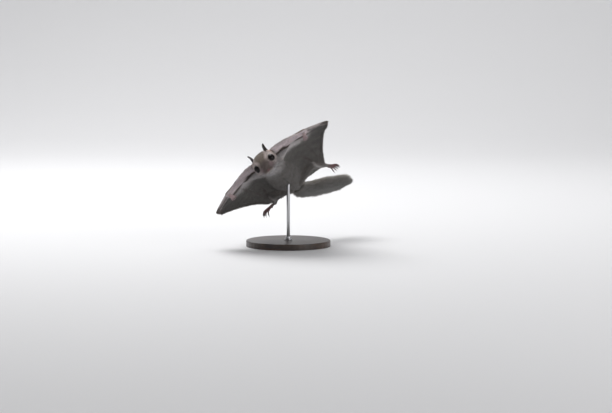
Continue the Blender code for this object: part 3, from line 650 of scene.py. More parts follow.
def mesh_from(name, bm):
    """A mesh from a bmesh, which is freed."""
    mesh = bpy.data.meshes.new(name)
    bm.to_mesh(mesh)
    bm.free()
    return mesh


def new_piece(name, bm, material, replaced=(), place=Matrix.Identity(4)):
    """A finished piece from a bmesh, moved to its place."""
    bmesh.ops.transform(bm, matrix=place, verts=bm.verts)
    return own_piece(name, mesh_from(name, bm), material, replaced)


def own_piece(name, mesh, material, replaced=()):
    """A finished piece from a mesh, riding on the root body."""
    piece = in_scene(name, mesh)
    mesh.materials.append(material)
    mesh.shade_smooth()
    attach(piece, "root")
    if replaced:
        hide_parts(*replaced)
    return piece


def values_of(items, attribute, width, kind=np.float32):
    """An attribute of a mesh's items, one row each."""
    values = np.empty(len(items) * width, kind)
    items.foreach_get(attribute, values)
    return values.reshape(-1, width)


def points_of(mesh):
    """A mesh's points, one row each."""
    return values_of(mesh.vertices, "co", 3).astype(float)


def normals_of(mesh):
    """The normal at each point of a mesh."""
    return values_of(mesh.vertex_normals, "vector", 3).astype(float)


def triangles_of(mesh, attribute="vertices"):
    """The three points, or loops, of each triangle of a mesh."""
    mesh.calc_loop_triangles()
    return values_of(mesh.loop_triangles, attribute, 3, np.int32)


def set_points(mesh, points):
    """Moves a mesh's points."""
    mesh.vertices.foreach_set("co", points.astype(np.float32).ravel())
    mesh.update()


def paint(mesh, colours):
    """Stores linear colours, one row for each point, as the attribute that materials read."""
    rows = np.ones((len(colours), 4), np.float32)
    rows[:, :3] = colours
    attribute = mesh.color_attributes.new("coat", "FLOAT_COLOR", "POINT")
    attribute.data.foreach_set("color", rows.ravel())


class Neighbours:
    """Averages values over each point's neighbours along the mesh's edges."""

    def __init__(self, mesh):
        ends = values_of(mesh.edges, "vertices", 2, np.int32)
        both = np.concatenate([ends, ends[:, ::-1]])
        both = both[np.argsort(both[:, 0], kind="stable")]
        self.others = both[:, 1]
        self.points, self.starts, self.counts = np.unique(both[:, 0], return_index=True, return_counts=True)

    def mean(self, values):
        """For each point, the mean value of its neighbours."""
        means = values.copy()
        sums = np.add.reduceat(values[self.others], self.starts, axis=0)
        means[self.points] = sums / self.counts.reshape(-1, *[1] * (values.ndim - 1))
        return means

    def smooth(self, values, times, share=0.5):
        """Values drawn towards their neighbours' mean by a share, a number of times."""
        for _ in range(times):
            values = mix(values, self.mean(values), share)
        return values


def remeshed(bm, voxel):
    """One closed surface around everything in the bmesh, in even faces of that size."""
    source = mesh_from("flesh", bm)
    obj = in_scene("flesh", source)
    modifier = obj.modifiers.new("remesh", "REMESH")
    modifier.mode = "VOXEL"
    modifier.voxel_size = voxel
    graph = bpy.context.evaluated_depsgraph_get()
    result = bpy.data.meshes.new_from_object(obj.evaluated_get(graph))
    bpy.data.objects.remove(obj)
    bpy.data.meshes.remove(source)
    if not result.polygons:
        raise RuntimeError("the flesh gave no surface")
    return result


def rolled(bm, points, radii, sides, height=1.0):
    """A tube through points, rolled from a grid, closed where its radius is nought."""
    grid = bmesh.ops.create_grid(bm, x_segments=sides, y_segments=len(points) - 1, size=0.5)
    rings = []
    side = (points[1] - points[0]).orthogonal().normalized()
    for i, point in enumerate(points):
        way = (points[min(i + 1, len(points) - 1)] - points[max(i - 1, 0)]).normalized()
        side = (side - way * side.dot(way)).normalized()
        rings.append((point, side, way.cross(side) * height, radii[i]))
    for vert in grid["verts"]:
        turn = FULL_TURN * (vert.co.x + 0.5)
        point, across, up, radius = rings[round((vert.co.y + 0.5) * (len(points) - 1))]
        vert.co = point + (across * math.cos(turn) + up * math.sin(turn)) * radius
    bmesh.ops.remove_doubles(bm, verts=grid["verts"], dist=WELD)


def spun(bm, profile, steps):
    """Spins a closed profile once around Z, and welds what meets."""
    bmesh.ops.spin(
        bm, geom=profile, cent=(0, 0, 0), axis=(0, 0, 1), angle=FULL_TURN, steps=steps, use_merge=True
    )
    bmesh.ops.remove_doubles(bm, verts=bm.verts, dist=WELD)


def beveled(bm, sharper_than, offset):
    """Rounds the edges that are sharper than an angle."""
    edges = [edge for edge in bm.edges if edge.calc_face_angle(0) > sharper_than]
    bmesh.ops.bevel(bm, geom=edges, offset=offset, segments=2, profile=0.5, affect="EDGES", material=-1)


def add_ball(bm, centre, radii, matrix=Matrix.Identity(4), segments=16, rings=10):
    """An ellipsoid, in a bmesh."""
    place = matrix @ Matrix.Translation(centre) @ Matrix.Diagonal((*radii, 1.0))
    return bmesh.ops.create_uvsphere(bm, u_segments=segments, v_segments=rings, radius=1.0, matrix=place)


def gaze_matrix(side):
    """An eye's own frame in the head's: origin at its centre, Z along its gaze."""
    turn = mirrored(EYE_GAZE, side).to_track_quat("Z", "Y").to_matrix().to_4x4()
    return Matrix.Translation(mirrored(EYE_CENTRE, side)) @ turn


# Skin


def tail_core(bm):
    """The tail's flesh: a ball drawn out along the tail's line."""
    made = bmesh.ops.create_uvsphere(bm, u_segments=16, v_segments=40, radius=1.0)["verts"]
    balls = np.array([vert.co for vert in made])
    shares = (1 - balls[:, 2]) / 2 * (TAIL_CORE_END + 0.03) - 0.03
    centres, ways, across, up = tail_frames(np.maximum(shares, 0))
    centres += ways * np.minimum(shares, 0)[:, None] * TAIL_LENGTH
    half_widths, half_heights = along(TAIL_CORE_SECTIONS, shares)
    rounds = unit(np.column_stack([balls[:, :2], np.zeros(len(balls))]))
    blunt = np.minimum(1.0, np.hypot(balls[:, 0], balls[:, 1]) * 2.2)[:, None]
    wide = across * rounds[:, :1] * half_widths[:, None]
    high = up * rounds[:, 1:2] * half_heights[:, None]
    for vert, spot in zip(made, moved(BODY, centres + (wide + high) * blunt)):
        vert.co = spot


def flesh(fill):
    """Merged copies of the fixed flesh, grown by fill, with the tail's core and a bed for each eye."""
    bm = bmesh.new()
    for name in FLESH + SIDE_FLESH:
        bm.from_mesh(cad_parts[name].data)
    bmesh.ops.remove_doubles(bm, verts=bm.verts, dist=1e-6)
    bm.normal_update()
    grown = [vert.co + vert.normal * fill for vert in bm.verts]
    for vert, spot in zip(bm.verts, grown):
        vert.co = spot
    for _, side in SIDES:
        add_ball(bm, Vector(), (EYE_BED_RADIUS,) * 3, HEAD @ gaze_matrix(side))
    tail_core(bm)
    return bm


def fixed_regions(points):
    """Index into REGION_NAMES of the fixed solid nearest to each point."""
    corners = []
    faces = []
    owners = []
    for index, name in enumerate(REGION_NAMES):
        for node in REGIONS[name].solids:
            for full_name in (node, f"{node}_left", f"{node}_right"):
                if full_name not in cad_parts:
                    continue
                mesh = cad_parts[full_name].data
                triangles = triangles_of(mesh) + len(corners)
                corners.extend(points_of(mesh).tolist())
                faces.extend(triangles.tolist())
                owners.extend([index] * len(triangles))
    tree = BVHTree.FromPolygons(corners, faces)
    found = [tree.find_nearest(point)[2] for point in points.tolist()]
    return np.array(owners)[found]


def region_weights(neighbours, points):
    """How much each point of a mesh belongs to each region, with soft borders."""
    weights = np.eye(len(REGION_NAMES))[fixed_regions(points)]
    return neighbours.smooth(weights, times=8, share=0.7)


def share_of(name, weights):
    """How much each point belongs to one region."""
    return weights[:, REGION_NAMES.index(name)]


def region_values(weights, column, settings=None):
    """A value of the regions, blended over them; settings hold those that have a name."""
    values = [getattr(REGIONS[name], column) for name in REGION_NAMES]
    if settings is not None:
        values = [in_millimetres(getattr(settings, value)) for value in values]
    return weights @ np.array(values, float)


def mouth_path():
    """Points along the line of the mouth, corner to corner, in the head's frame."""
    points = []
    for i in range(-12, 13):
        t = abs(i) / 12
        point = (1 - t) ** 2 * MOUTH_FRONT + 2 * t * (1 - t) * MOUTH_MIDDLE + t * t * MOUTH_CORNER
        points.append(mirrored(point, math.copysign(1, i)))
    return np.array(points)


def distance_to_path(points, path):
    """Distance of each point to a line of points."""
    best = np.full(len(points), np.inf)
    for start, end in zip(path, path[1:]):
        way = end - start
        share = np.clip((points - start) @ way / (way @ way), 0, 1)[:, None]
        best = np.minimum(best, np.linalg.norm(points - start - way * share, axis=1))
    return best


def from_eye(in_head, side):
    """Points of the head's frame as seen from an eye's centre: angle from its gaze, distance and way."""
    away = in_head - np.array(mirrored(EYE_CENTRE, side))
    far = np.linalg.norm(away, axis=1)
    cosine = away @ np.array(mirrored(EYE_GAZE, side)) / np.maximum(far, 1e-6)
    return np.arccos(np.clip(cosine, -1, 1)), far, away


def refine_head(mesh):
    """Splits the faces of the head once, for the face's finer forms."""
    bm = bmesh.new()
    bm.from_mesh(mesh)
    into_head = HEAD.inverted()
    edges = set()
    for face in bm.faces:
        centre = into_head @ face.calc_center_median()
        if centre.y < 10 and abs(centre.x) < 21 and abs(centre.z) < 19 and centre.y > -24:
            edges.update(face.edges)
    bmesh.ops.subdivide_edges(bm, edges=list(edges), cuts=1, use_grid_fill=True)
    bm.to_mesh(mesh)
    bm.free()


def inside_rear_edge(points, side):
    """How far points of one side lie inside the rear edge of its membrane, in the body frame."""
    rows = REAR_EDGE[side]
    return np.interp(points[:, 1], [row[0] for row in rows], [row[1] for row in rows]) - points[:, 0] * side


def flat_distance(points, path, side):
    """Distance of points to a path of one side, seen from above in the body frame."""
    corners = np.array([mirrored(corner, side) for corner in path])
    return distance_to_path(points[:, :2], corners[:, :2])


def near_rear_edge(points):
    """How near points of the body frame lie to their membrane's rear edge, from nought to one."""
    inside = np.where(points[:, 0] > 0, inside_rear_edge(points, 1.0), inside_rear_edge(points, -1.0))
    return ramp(6.0, 1.5, inside) * ramp(8, 24, points[:, 1])


def creases(points, weights):
    """How near points of the body frame lie to the creases of the membranes, from nought to one."""
    wing = share_of("wing", weights)
    total = np.zeros(len(points))
    for _, side in SIDES:
        own = wing * (points[:, 0] * side > 0)
        ankle = ANKLE[side]
        inside = inside_rear_edge(points, side)
        total += own * bell(inside - 6.0, 1.4) * ramp(14, 24, points[:, 1]) * 0.8
        for start, end, width in (
            (ankle + Vector((-2, -16, 0)), SHOULDER + Vector((22, 44, 0)), 1.8),
            (ankle + Vector((1, -20, 0)), ELBOW + Vector((12, 30, 0)), 1.6),
            (WING_TIP + Vector((-12, 1, 0)), ELBOW + Vector((8, 16, 0)), 1.3),
        ):
            path = [start, start.lerp(end, 0.5) + Vector((0, 2.5, 0)), end]
            total += own * bell(flat_distance(points, path, side), width)
    return np.minimum(total, 1.0)


class FLYER_OT_skin(Operator):
    """Make the skin that lies under the coat"""

    bl_idname = "flyer.skin"
    bl_label = "Skin"

    def execute(self, context):
        settings = context.scene.flyer_skin
        mesh = remeshed(flesh(settings.fill), settings.voxel)
        refine_head(mesh)
        neighbours = Neighbours(mesh)
        points = neighbours.smooth(points_of(mesh), times=3)
        set_points(mesh, points)
        weights = region_weights(neighbours, points)
        depths = region_values(weights, "depth", settings)
        in_head = moved(HEAD.inverted(), points)
        muzzle = share_of("head", weights) * ramp(-4, -15, in_head[:, 1])
        in_body = moved(BODY.inverted(), points)
        tail = share_of("trunk", weights) * ramp(TRUNK_END - 6, TRUNK_END + 6, in_body[:, 1])
        depths = depths * (1 - 0.55 * muzzle) * (1 - tail)
        depths += MOUTH_DEPTH * bell(distance_to_path(in_head, mouth_path()), 0.5)
        normals = normals_of(mesh)
        depths += creases(in_body, weights) * CREASE_DEPTH * np.sign(-(normals @ BODY_TURN)[:, 2])
        depths = neighbours.smooth(depths, times=1)
        points = self.blended(neighbours, points, weights)
        points = points - normals * depths[:, None] * MM
        radius = in_millimetres(context.scene.flyer_face.eye_radius)
        points = self.lidded(neighbours.smooth(points, times=1), radius)
        set_points(mesh, points)
        in_body = moved(BODY.inverted(), points)
        colours = markings(context.scene, in_body, normals_of(mesh) @ BODY_TURN, weights)
        paint(mesh, linear(colours) * SKIN_DARKER)
        own_piece("skin", mesh, skin_material(), (*FLESH, "tail", *SIDE_FLESH))
        return {"FINISHED"}

    @staticmethod
    def lidded(points, radius):
        """Points with the skin round each eye drawn over the eyeball, up to the lids."""
        in_head = moved(HEAD.inverted(), points)
        for _, side in SIDES:
            angle, far, away = from_eye(in_head, side)
            over = mix(radius * 0.90, radius + EYE_GAP, ramp(LID_OPENING - 0.02, LID_OPENING + 0.12, angle))
            wanted = np.where(angle < LID_OPENING + 0.12, over, np.maximum(far, over))
            near = ramp(1.45, 1.15, angle) * (far < radius + 2.5)
            in_head += away / far[:, None] * ((wanted - far) * near)[:, None]
        return moved(HEAD, in_head)

    @staticmethod
    def blended(neighbours, points, weights):
        """Points with the folds between the trunk and what leaves it smoothed out."""
        wide = neighbours.smooth(weights, times=30, share=0.9)
        trunk = share_of("trunk", wide)
        head = share_of("head", wide)
        webs = sum(share_of(name, wide) for name in ("wing", "hind", "lead"))
        share = np.clip(5 * trunk * (webs + 0.8 * head) + 3 * head * webs, 0, 1)[:, None]
        for _ in range(40):
            points = mix(points, neighbours.mean(points), share * 0.8)
        return points


# Markings


def laid_over(colours, colour, share):
    """Rows of colours, turned to another colour by a share each."""
    return mix(colours, np.asarray(colour, float), share[:, None])


def arm_line(points):
    """Distance behind the arm's middle line, in the body frame, and how far out along it."""
    out = np.abs(points[:, 0])
    knots = (SHOULDER, ELBOW, WRIST, WING_TIP)
    line = np.interp(out, [knot.x for knot in knots], [knot.y for knot in knots])
    return points[:, 1] - line, out


def face_markings(scene, in_head):
    """Colours of the head at points of its own frame."""
    face = scene.flyer_face
    coat = scene.flyer_coat
    x = np.abs(in_head[:, 0])
    y = in_head[:, 1]
    z = in_head[:, 2]
    colours = np.tile(np.array(face.forehead), (len(y), 1))
    low = ramp(0.5, -6.5, z - 0.30 * (y + 4) + 0.25 * (12 - x))
    colours = laid_over(colours, face.cheek, low)
    # Darker towards the crown: painted shade that offsets the light falling on the top of the head.
    crown = ramp(-3.0, 7.0, y) * ramp(2.0, 7.0, z)
    colours = colours * (1 - COVER["crown"] * crown)[:, None]
    muzzle = ramp(-8.0, -13.0, y) * ramp(-10.5, -7.5, z)
    colours = laid_over(colours, face.muzzle, muzzle * COVER["muzzle"])
    chin = ramp(-9.0, -12.5, z - 0.22 * np.maximum(y + 8, 0))
    colours = laid_over(colours, coat.throat, chin)
    for _, side in SIDES:
        angle, far, away = from_eye(in_head, side)
        above = ramp(-2.5, 3.5, away[:, 2] * 0.8 + away[:, 1] * 0.55)
        ring = ramp(10.5, 7.4, far) * mix(0.62, 1.0, above)
        colours = laid_over(colours, face.brow, ring)
        length = (away[:, 1] * 0.7 - away[:, 2] * 0.7 + 1.5) / 2.2
        patch = ramp(2.2, 1.0, np.hypot(away[:, 0] * side - 1.0, length) / 3) * ramp(3.0, 7.0, away[:, 2])
        colours = laid_over(colours, face.brow, patch * COVER["brow_patch"])
        inner = in_head - np.array((7.0 * side, -12.5, -5.0))
        mauve = ramp(5.0, 2.0, np.linalg.norm(inner * (0.9, 0.8, 1.0), axis=1))
        colours = laid_over(colours, face.mauve, mauve * COVER["mauve"])
        corner = ramp(-3.0, -6.5, away[:, 1]) * ramp(8.6, 6.4, far) * ramp(3.0, -3.0, away[:, 0] * side)
        colours = laid_over(colours, face.rim, corner * COVER["eye_corner"])
        rim = ramp(8.0, 6.8, far) * ramp(0.30, 0.17, angle - LID_OPENING)
        colours = laid_over(colours, face.rim, rim)
        ear = np.linalg.norm(in_head - np.array(mirrored(EAR_ROOT, side)), axis=1)
        colours = laid_over(colours, face.ear_base, ramp(6.5, 3.5, ear) * COVER["ear_base"])
    mouth = bell(distance_to_path(in_head, mouth_path()), 0.6)
    return laid_over(colours, face.rim, mouth * COVER["mouth"])


def arm_markings(coat, points, part, colours):
    """Colours with the throat's, the pale band, the dark line of painted shadow between arm and membrane, the
    strip behind it and the spur's streaks.
    """
    web = part["wing"] + part["hind"]
    behind, out = arm_line(points)
    shadow_line_place, shadow_line_width, strip_end = along(ARM_MARKS, out)
    past_line = points[:, 1] - shadow_line_place
    throat = ramp(14, -8, points[:, 1]) * (part["trunk"] + 0.6 * web * ramp(36, 10, out))
    colours = laid_over(colours, coat.throat, np.clip(throat, 0, 1) * COVER["belly_throat"])
    strip = ramp(strip_end + 2, strip_end - 12, points[:, 1])
    strip *= ramp(0.0, 2.5, past_line) * ramp(72, 60, out)
    arm = np.clip(part["upper_arm"] + part["forearm"] + web + part["lead"], 0, 1)
    colours = laid_over(colours, coat.strip, strip * arm * COVER["strip"])
    colours = laid_over(colours, coat.throat, part["shank"] * COVER["shank"])
    colours = colours * (1 - COVER["outer_wing"] * part["wing"] * ramp(45, 85, out))[:, None]
    # The dark line is painted shadow: the gap between arm and membrane, which lies in shade.
    line = bell(past_line, shadow_line_width) * ramp(8, 18, out) * ramp(68, 60, out)
    lead = arm * ramp(0.5, -1.5, past_line) * ramp(72, 64, out)
    colours = laid_over(colours, coat.lead, np.clip(lead, 0, 1))
    colours = laid_over(colours, coat.shade, line * COVER["arm_line"])
    spur = np.clip(part["wing"] + part["forearm"], 0, 1) * ramp(64, 69, out)
    for place, width, colour in SPUR_STREAKS:
        streak = spur * bell(behind - place, width) * COVER["spur"]
        colours = laid_over(colours, getattr(coat, colour), streak)
    return laid_over(colours, coat.shade, part["wing"] * ramp(84, 93, out) * COVER["wing_tip"])


def rear_markings(coat, points, weights, colours):
    """Colours with painted shade along the membranes' rear edge and in their creases, and beside each shin a
    fold of painted shadow and a pale streak, partly paler fur and partly painted highlight.
    """
    # Painted shade along the membranes' rear edge and in their creases.
    edge = share_of("wing", weights) * near_rear_edge(points)
    colours = laid_over(colours, coat.shade, edge * COVER["rear_edge"])
    colours = laid_over(colours, coat.shade, creases(points, weights) * COVER["creases"])
    for _, side in SIDES:
        own = points[:, 0] * side > 0
        knee = KNEE[side]
        shin = knee.lerp(ANKLE[side], 0.6)
        # A fold of painted shadow beside the shin, and along the shin's edge a pale streak, partly paler fur
        # and partly painted highlight.
        fold = [knee + Vector((4, -20, 0)), knee + Vector((7, -1, 0)), shin + Vector((3, 0, 0))]
        fold_shadow = own * bell(flat_distance(points, fold, side), 1.8)
        colours = laid_over(colours, coat.shade, fold_shadow * COVER["fold"])
        edge = [knee + Vector((4, -3, 0)), knee + Vector((5.5, 3, 0)), shin]
        pale_and_lit_shin = own * bell(flat_distance(points, edge, side), 1.7)
        colours = laid_over(colours, coat.strip, pale_and_lit_shin * COVER["shin"])
    return colours


def markings(scene, points, normals, weights):
    """Display colours of the coat at points of the body frame."""
    coat = scene.flyer_coat
    part = {name: share_of(name, weights) for name in REGION_NAMES}
    # The belly and membrane colours laid on here are partly their own tone and partly painted shade of the
    # underside.
    colours = np.tile(np.array(coat.under), (len(points), 1))
    colours = laid_over(colours, coat.membrane, part["wing"] + part["hind"])
    colours = arm_markings(coat, points, part, colours)
    colours = rear_markings(coat, points, weights, colours)
    # Upward faces take the back's colour; on the trunk they are lifted a tenth more, painted light that
    # offsets the shade of its longer hair.
    above = ramp(-0.05, 0.35, normals[:, 2])
    colours = laid_over(colours, coat.back, above) * (1 + 0.10 * above * part["trunk"])[:, None]
    patches = 1 + 0.07 * ripple(points, size=14, seed=3) + 0.04 * ripple(points, size=4, seed=5)
    colours = colours * patches[:, None]
    in_head = moved(HEAD_IN_BODY.inverted(), points)
    colours = mix(colours, face_markings(scene, in_head), part["head"][:, None])
    tail = part["trunk"] * ramp(TRUNK_END - 8, TRUNK_END + 8, points[:, 1])
    return np.clip(laid_over(colours, coat.tail, tail), 0, 1)


# Coat


def lie(points, weights):
    """The way the coat lies at points of the body frame."""
    side = np.where(points[:, 0] > 0, 1.0, -1.0)
    out = np.clip(np.abs(points[:, 0]) / WING_TIP.x, 0, 1)
    back = Vector((0, 1, 0))
    left_ways = {
        "trunk": (0.10, 1.0, -0.04),
        "upper_arm": (ELBOW - SHOULDER).normalized() + back * 0.5,
        "forearm": (WRIST - ELBOW).normalized() + back * 0.3,
        "thigh": (0.7, 0.75, 0.0),
        "shank": (ANKLE[1.0] - KNEE[1.0]).normalized(),
        "lead": (0.85, 0.42, 0.0),
        "wing": np.column_stack([0.22 + 0.5 * out, 0.95 - 0.3 * out, 0 * out]),
        "hind": (0.25, 0.95, 0.0),
    }
    ways = np.zeros_like(points)
    for name, left_way in left_ways.items():
        way = np.broadcast_to(np.array(left_way, float), points.shape).copy()
        way[:, 0] *= side
        ways += unit(way) * share_of(name, weights)[:, None]
    in_head = moved(HEAD_IN_BODY.inverted(), points)
    from_nose = unit(in_head - np.array((0.0, -24.0, -7.0)))
    from_nose[:, 2] *= 0.55
    ways += unit(from_nose) @ HEAD_TURN.T * share_of("head", weights)[:, None]
    return unit(ways)


def unwrap(skin):
    """A coarse copy of the skin, unwrapped: its search tree, and its faces' corners and map places."""
    bm = bmesh.new()
    bm.from_mesh(skin.data)
    mesh = remeshed(bm, UNWRAP_VOXEL)
    obj = in_scene("unwrapped", mesh)
    bpy.ops.object.select_all(action="DESELECT")
    obj.select_set(True)
    bpy.context.view_layer.objects.active = obj
    bpy.ops.object.mode_set(mode="EDIT")
    bpy.ops.mesh.select_all(action="SELECT")
    bpy.ops.uv.smart_project(angle_limit=math.radians(66), island_margin=0.004)
    bpy.ops.object.mode_set(mode="OBJECT")
    corners = points_of(mesh)
    triangles = triangles_of(mesh)
    spots = values_of(mesh.uv_layers.active.data, "uv", 2)[triangles_of(mesh, "loops")]
    tree = BVHTree.FromPolygons(corners.tolist(), triangles.tolist())
    bpy.data.objects.remove(obj)
    bpy.data.meshes.remove(mesh)
    return tree, corners[triangles], spots


def map_places(roots):
    """The place on the unwrapped skin that each point of the body frame is nearest to."""
    tree, corners, spots = unwrap(bpy.data.objects["skin"])
    hits = [tree.find_nearest(point) for point in moved(BODY, roots).tolist()]
    faces = np.array([hit[2] for hit in hits])
    near = np.array([hit[0] for hit in hits])
    first, second, third = (corners[faces, i] for i in range(3))
    across = np.cross(second - first, third - first)
    size = np.maximum(np.einsum("ij,ij->i", across, across), 1e-18)
    b = np.einsum("ij,ij->i", np.cross(near - first, third - first), across) / size
    c = np.einsum("ij,ij->i", np.cross(second - first, near - first), across) / size
    shares = np.column_stack([1 - b - c, b, c])[:, :, None]
    return np.clip((spots[faces] * shares).sum(axis=1), PATCH, 1 - PATCH)


def sample(mesh, amounts, rng):
    """Even random places on a mesh, with amounts for each square millimetre at its points."""
    points = points_of(mesh)
    triangles = triangles_of(mesh)
    first, second, third = (points[triangles[:, i]] for i in range(3))
    areas = np.linalg.norm(np.cross(second - first, third - first), axis=1) / 2 / MM**2
    wanted = areas * amounts[triangles].mean(axis=1)
    count = int(wanted.sum())
    chosen = triangles[rng.choice(len(triangles), count, p=wanted / wanted.sum())]
    a = rng.random(count)
    b = rng.random(count)
    over = a + b > 1
    a[over] = 1 - a[over]
    b[over] = 1 - b[over]
    return chosen, np.column_stack([1 - a - b, a, b])


def blend(values, chosen, shares):
    """Values of a mesh's points at sampled places."""
    shares = shares if values.ndim == 1 else shares[:, :, None]
    return (values[chosen] * shares).sum(axis=1)


def clumped(roots, tips, size, share, rng):
    """Tips drawn together by a share where their roots are close, in millimetres."""
    cells = np.floor((roots + rng.normal(size=roots.shape) * size * 0.22) / size).astype(int)
    _, groups, counts = np.unique(cells, axis=0, return_inverse=True, return_counts=True)
    groups = groups.ravel()
    middles = np.stack([np.bincount(groups, tips[:, i]) for i in range(3)], axis=1) / counts[:, None]
    return mix(tips, middles[groups], share)


def tuft_faces(rings):
    """The faces of one tuft, as places among its corners: its sides, its point and its foot."""
    faces = []
    for ring in range(len(rings) - 1):
        for i in range(3):
            start = 3 * ring + i
            after = 3 * ring + (i + 1) % 3
            faces.append((start, start + 3, after + 3, after))
    last = 3 * (len(rings) - 1)
    faces += [(last + i, last + 3, last + (i + 1) % 3) for i in range(3)]
    faces.append((0, 1, 2))
    return faces


def tuft_mesh(name, tufts, clump, rng, rings):
    """A mesh of three-sided tapered tufts, with a ring of corners at each share in rings. Tufts are
    rows of roots, normals, ways, lengths, widths, lifts, linear colours and map places, in
    millimetres in the body frame."""
    roots, normals, ways, lengths, widths, lifts, colours, spots = tufts
    lengths = lengths[:, None]
    widths = widths[:, None]
    side = unit(np.cross(ways, normals))
    rise = np.sin(lifts)[:, None]
    run = np.cos(lifts)[:, None]
    tips = roots + (ways * run * 0.97 + normals * rise * 0.62) * lengths
    pull = clumped(roots, tips, *clump, rng) - tips
    corners = []
    for share in rings:
        middle = roots + (ways * run * share + normals * (rise * (share - 0.38 * share**2))) * lengths
        middle += pull * share**2 - normals * (0.25 + 0.05 * lengths) * (1 - share) ** 3
        half = widths / 2 * (1 - 0.30 * share)
        corners += [middle - side * half, middle + side * half, middle + normals * half * 0.75]
    corners.append(tips + pull)
    count = len(roots)
    each = len(corners)
    points = moved(BODY, np.stack(corners, axis=1).reshape(-1, 3))
    faces = tuft_faces(rings)
    pattern = np.concatenate([np.array(face) for face in faces])
    starts = np.concatenate([[0], np.cumsum([len(face) for face in faces])])
    loops = (np.arange(count)[:, None] * each + pattern).ravel()
    loop_starts = (np.arange(count)[:, None] * starts[-1] + starts[:-1]).ravel()
    mesh = bpy.data.meshes.new(name)
    mesh.vertices.add(len(points))
    set_points(mesh, points)
    mesh.loops.add(len(loops))
    mesh.loops.foreach_set("vertex_index", loops.astype(np.int32))
    mesh.polygons.add(len(loop_starts))
    mesh.polygons.foreach_set("loop_start", loop_starts.astype(np.int32))
    mesh.update(calc_edges=True)
    lengthwise = np.array([share for share in rings for _ in range(3)] + [1.0])
    fade = mix(*ROOT_TO_TIP, lengthwise)
    paint(mesh, (colours[:, None, :] * fade[:, None]).reshape(-1, 3))
    crosswise = np.array([-0.5, 0.5, 0.0] * len(rings) + [0.0])
    patch = np.column_stack([crosswise, lengthwise - 0.5]) * PATCH
    places = (spots[:, None, :] + patch).reshape(-1, 2)
    layer = mesh.uv_layers.new(name="OFBake")
    layer.data.foreach_set("uv", places[loops].astype(np.float32).ravel())
    return mesh


def grow(name, tufts, own, clump, rng, rings=RINGS):
    """A coat piece from the tufts that are its own."""
    mesh = tuft_mesh(name, [row[own] for row in tufts], CLUMPS[clump], rng, rings)
    own_piece(name, mesh, coat_material())


def bald(in_head, weights):
    """Points of the head where no tuft grows: eyes, nose, mouth's line and ear roots."""
    found = np.zeros(len(in_head), bool)
    for _, side in SIDES:
        angle, far, _ = from_eye(in_head, side)
        found |= (angle < LID_OPENING + 0.125) & (far < 7.2)
        found |= np.linalg.norm(in_head - np.array(mirrored(EAR_ROOT, side)), axis=1) < 1.5
    found |= np.linalg.norm((in_head - np.array(NOSE_CENTRE)) / (np.array(NOSE_RADII) + 0.25), axis=1) < 1
    found |= distance_to_path(in_head, mouth_path()) < 0.35
    return found & (share_of("head", weights) > 0.3)


def beside_rod(points):
    """Points in metres that lie on the stand's rod."""
    low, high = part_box("stand_rod")
    middle = (low + high) / 2
    away = np.hypot(points[:, 0] - middle.x, points[:, 1] - middle.y)
    return (away < (high.x - low.x) / 2 + ROD_CLEARANCE * MM) & (points[:, 2] < high.z + 4 * MM)


def coat_piece_names(points, normals, weights):
    """The coat piece that each tuft belongs to."""
    region = np.array(REGION_NAMES)[weights.argmax(axis=1)]
    side = np.where(points[:, 0] > 0, "_left", "_right")
    upper = normals[:, 2] > 0
    names = np.where(upper, "coat_back", "coat_belly").astype("<U24")
    names[region == "head"] = np.char.add("coat_head", side)[region == "head"]
    arm = np.isin(region, ("upper_arm", "forearm", "lead"))
    leg = np.isin(region, ("thigh", "shank", "hind"))
    wing = region == "wing"
    names[arm] = np.char.add("coat_arm", side)[arm]
    names[leg] = np.char.add("coat_leg", side)[leg]
    names[wing] = np.char.add(np.where(upper, "coat_wing_top", "coat_wing_under"), side)[wing]
    return names


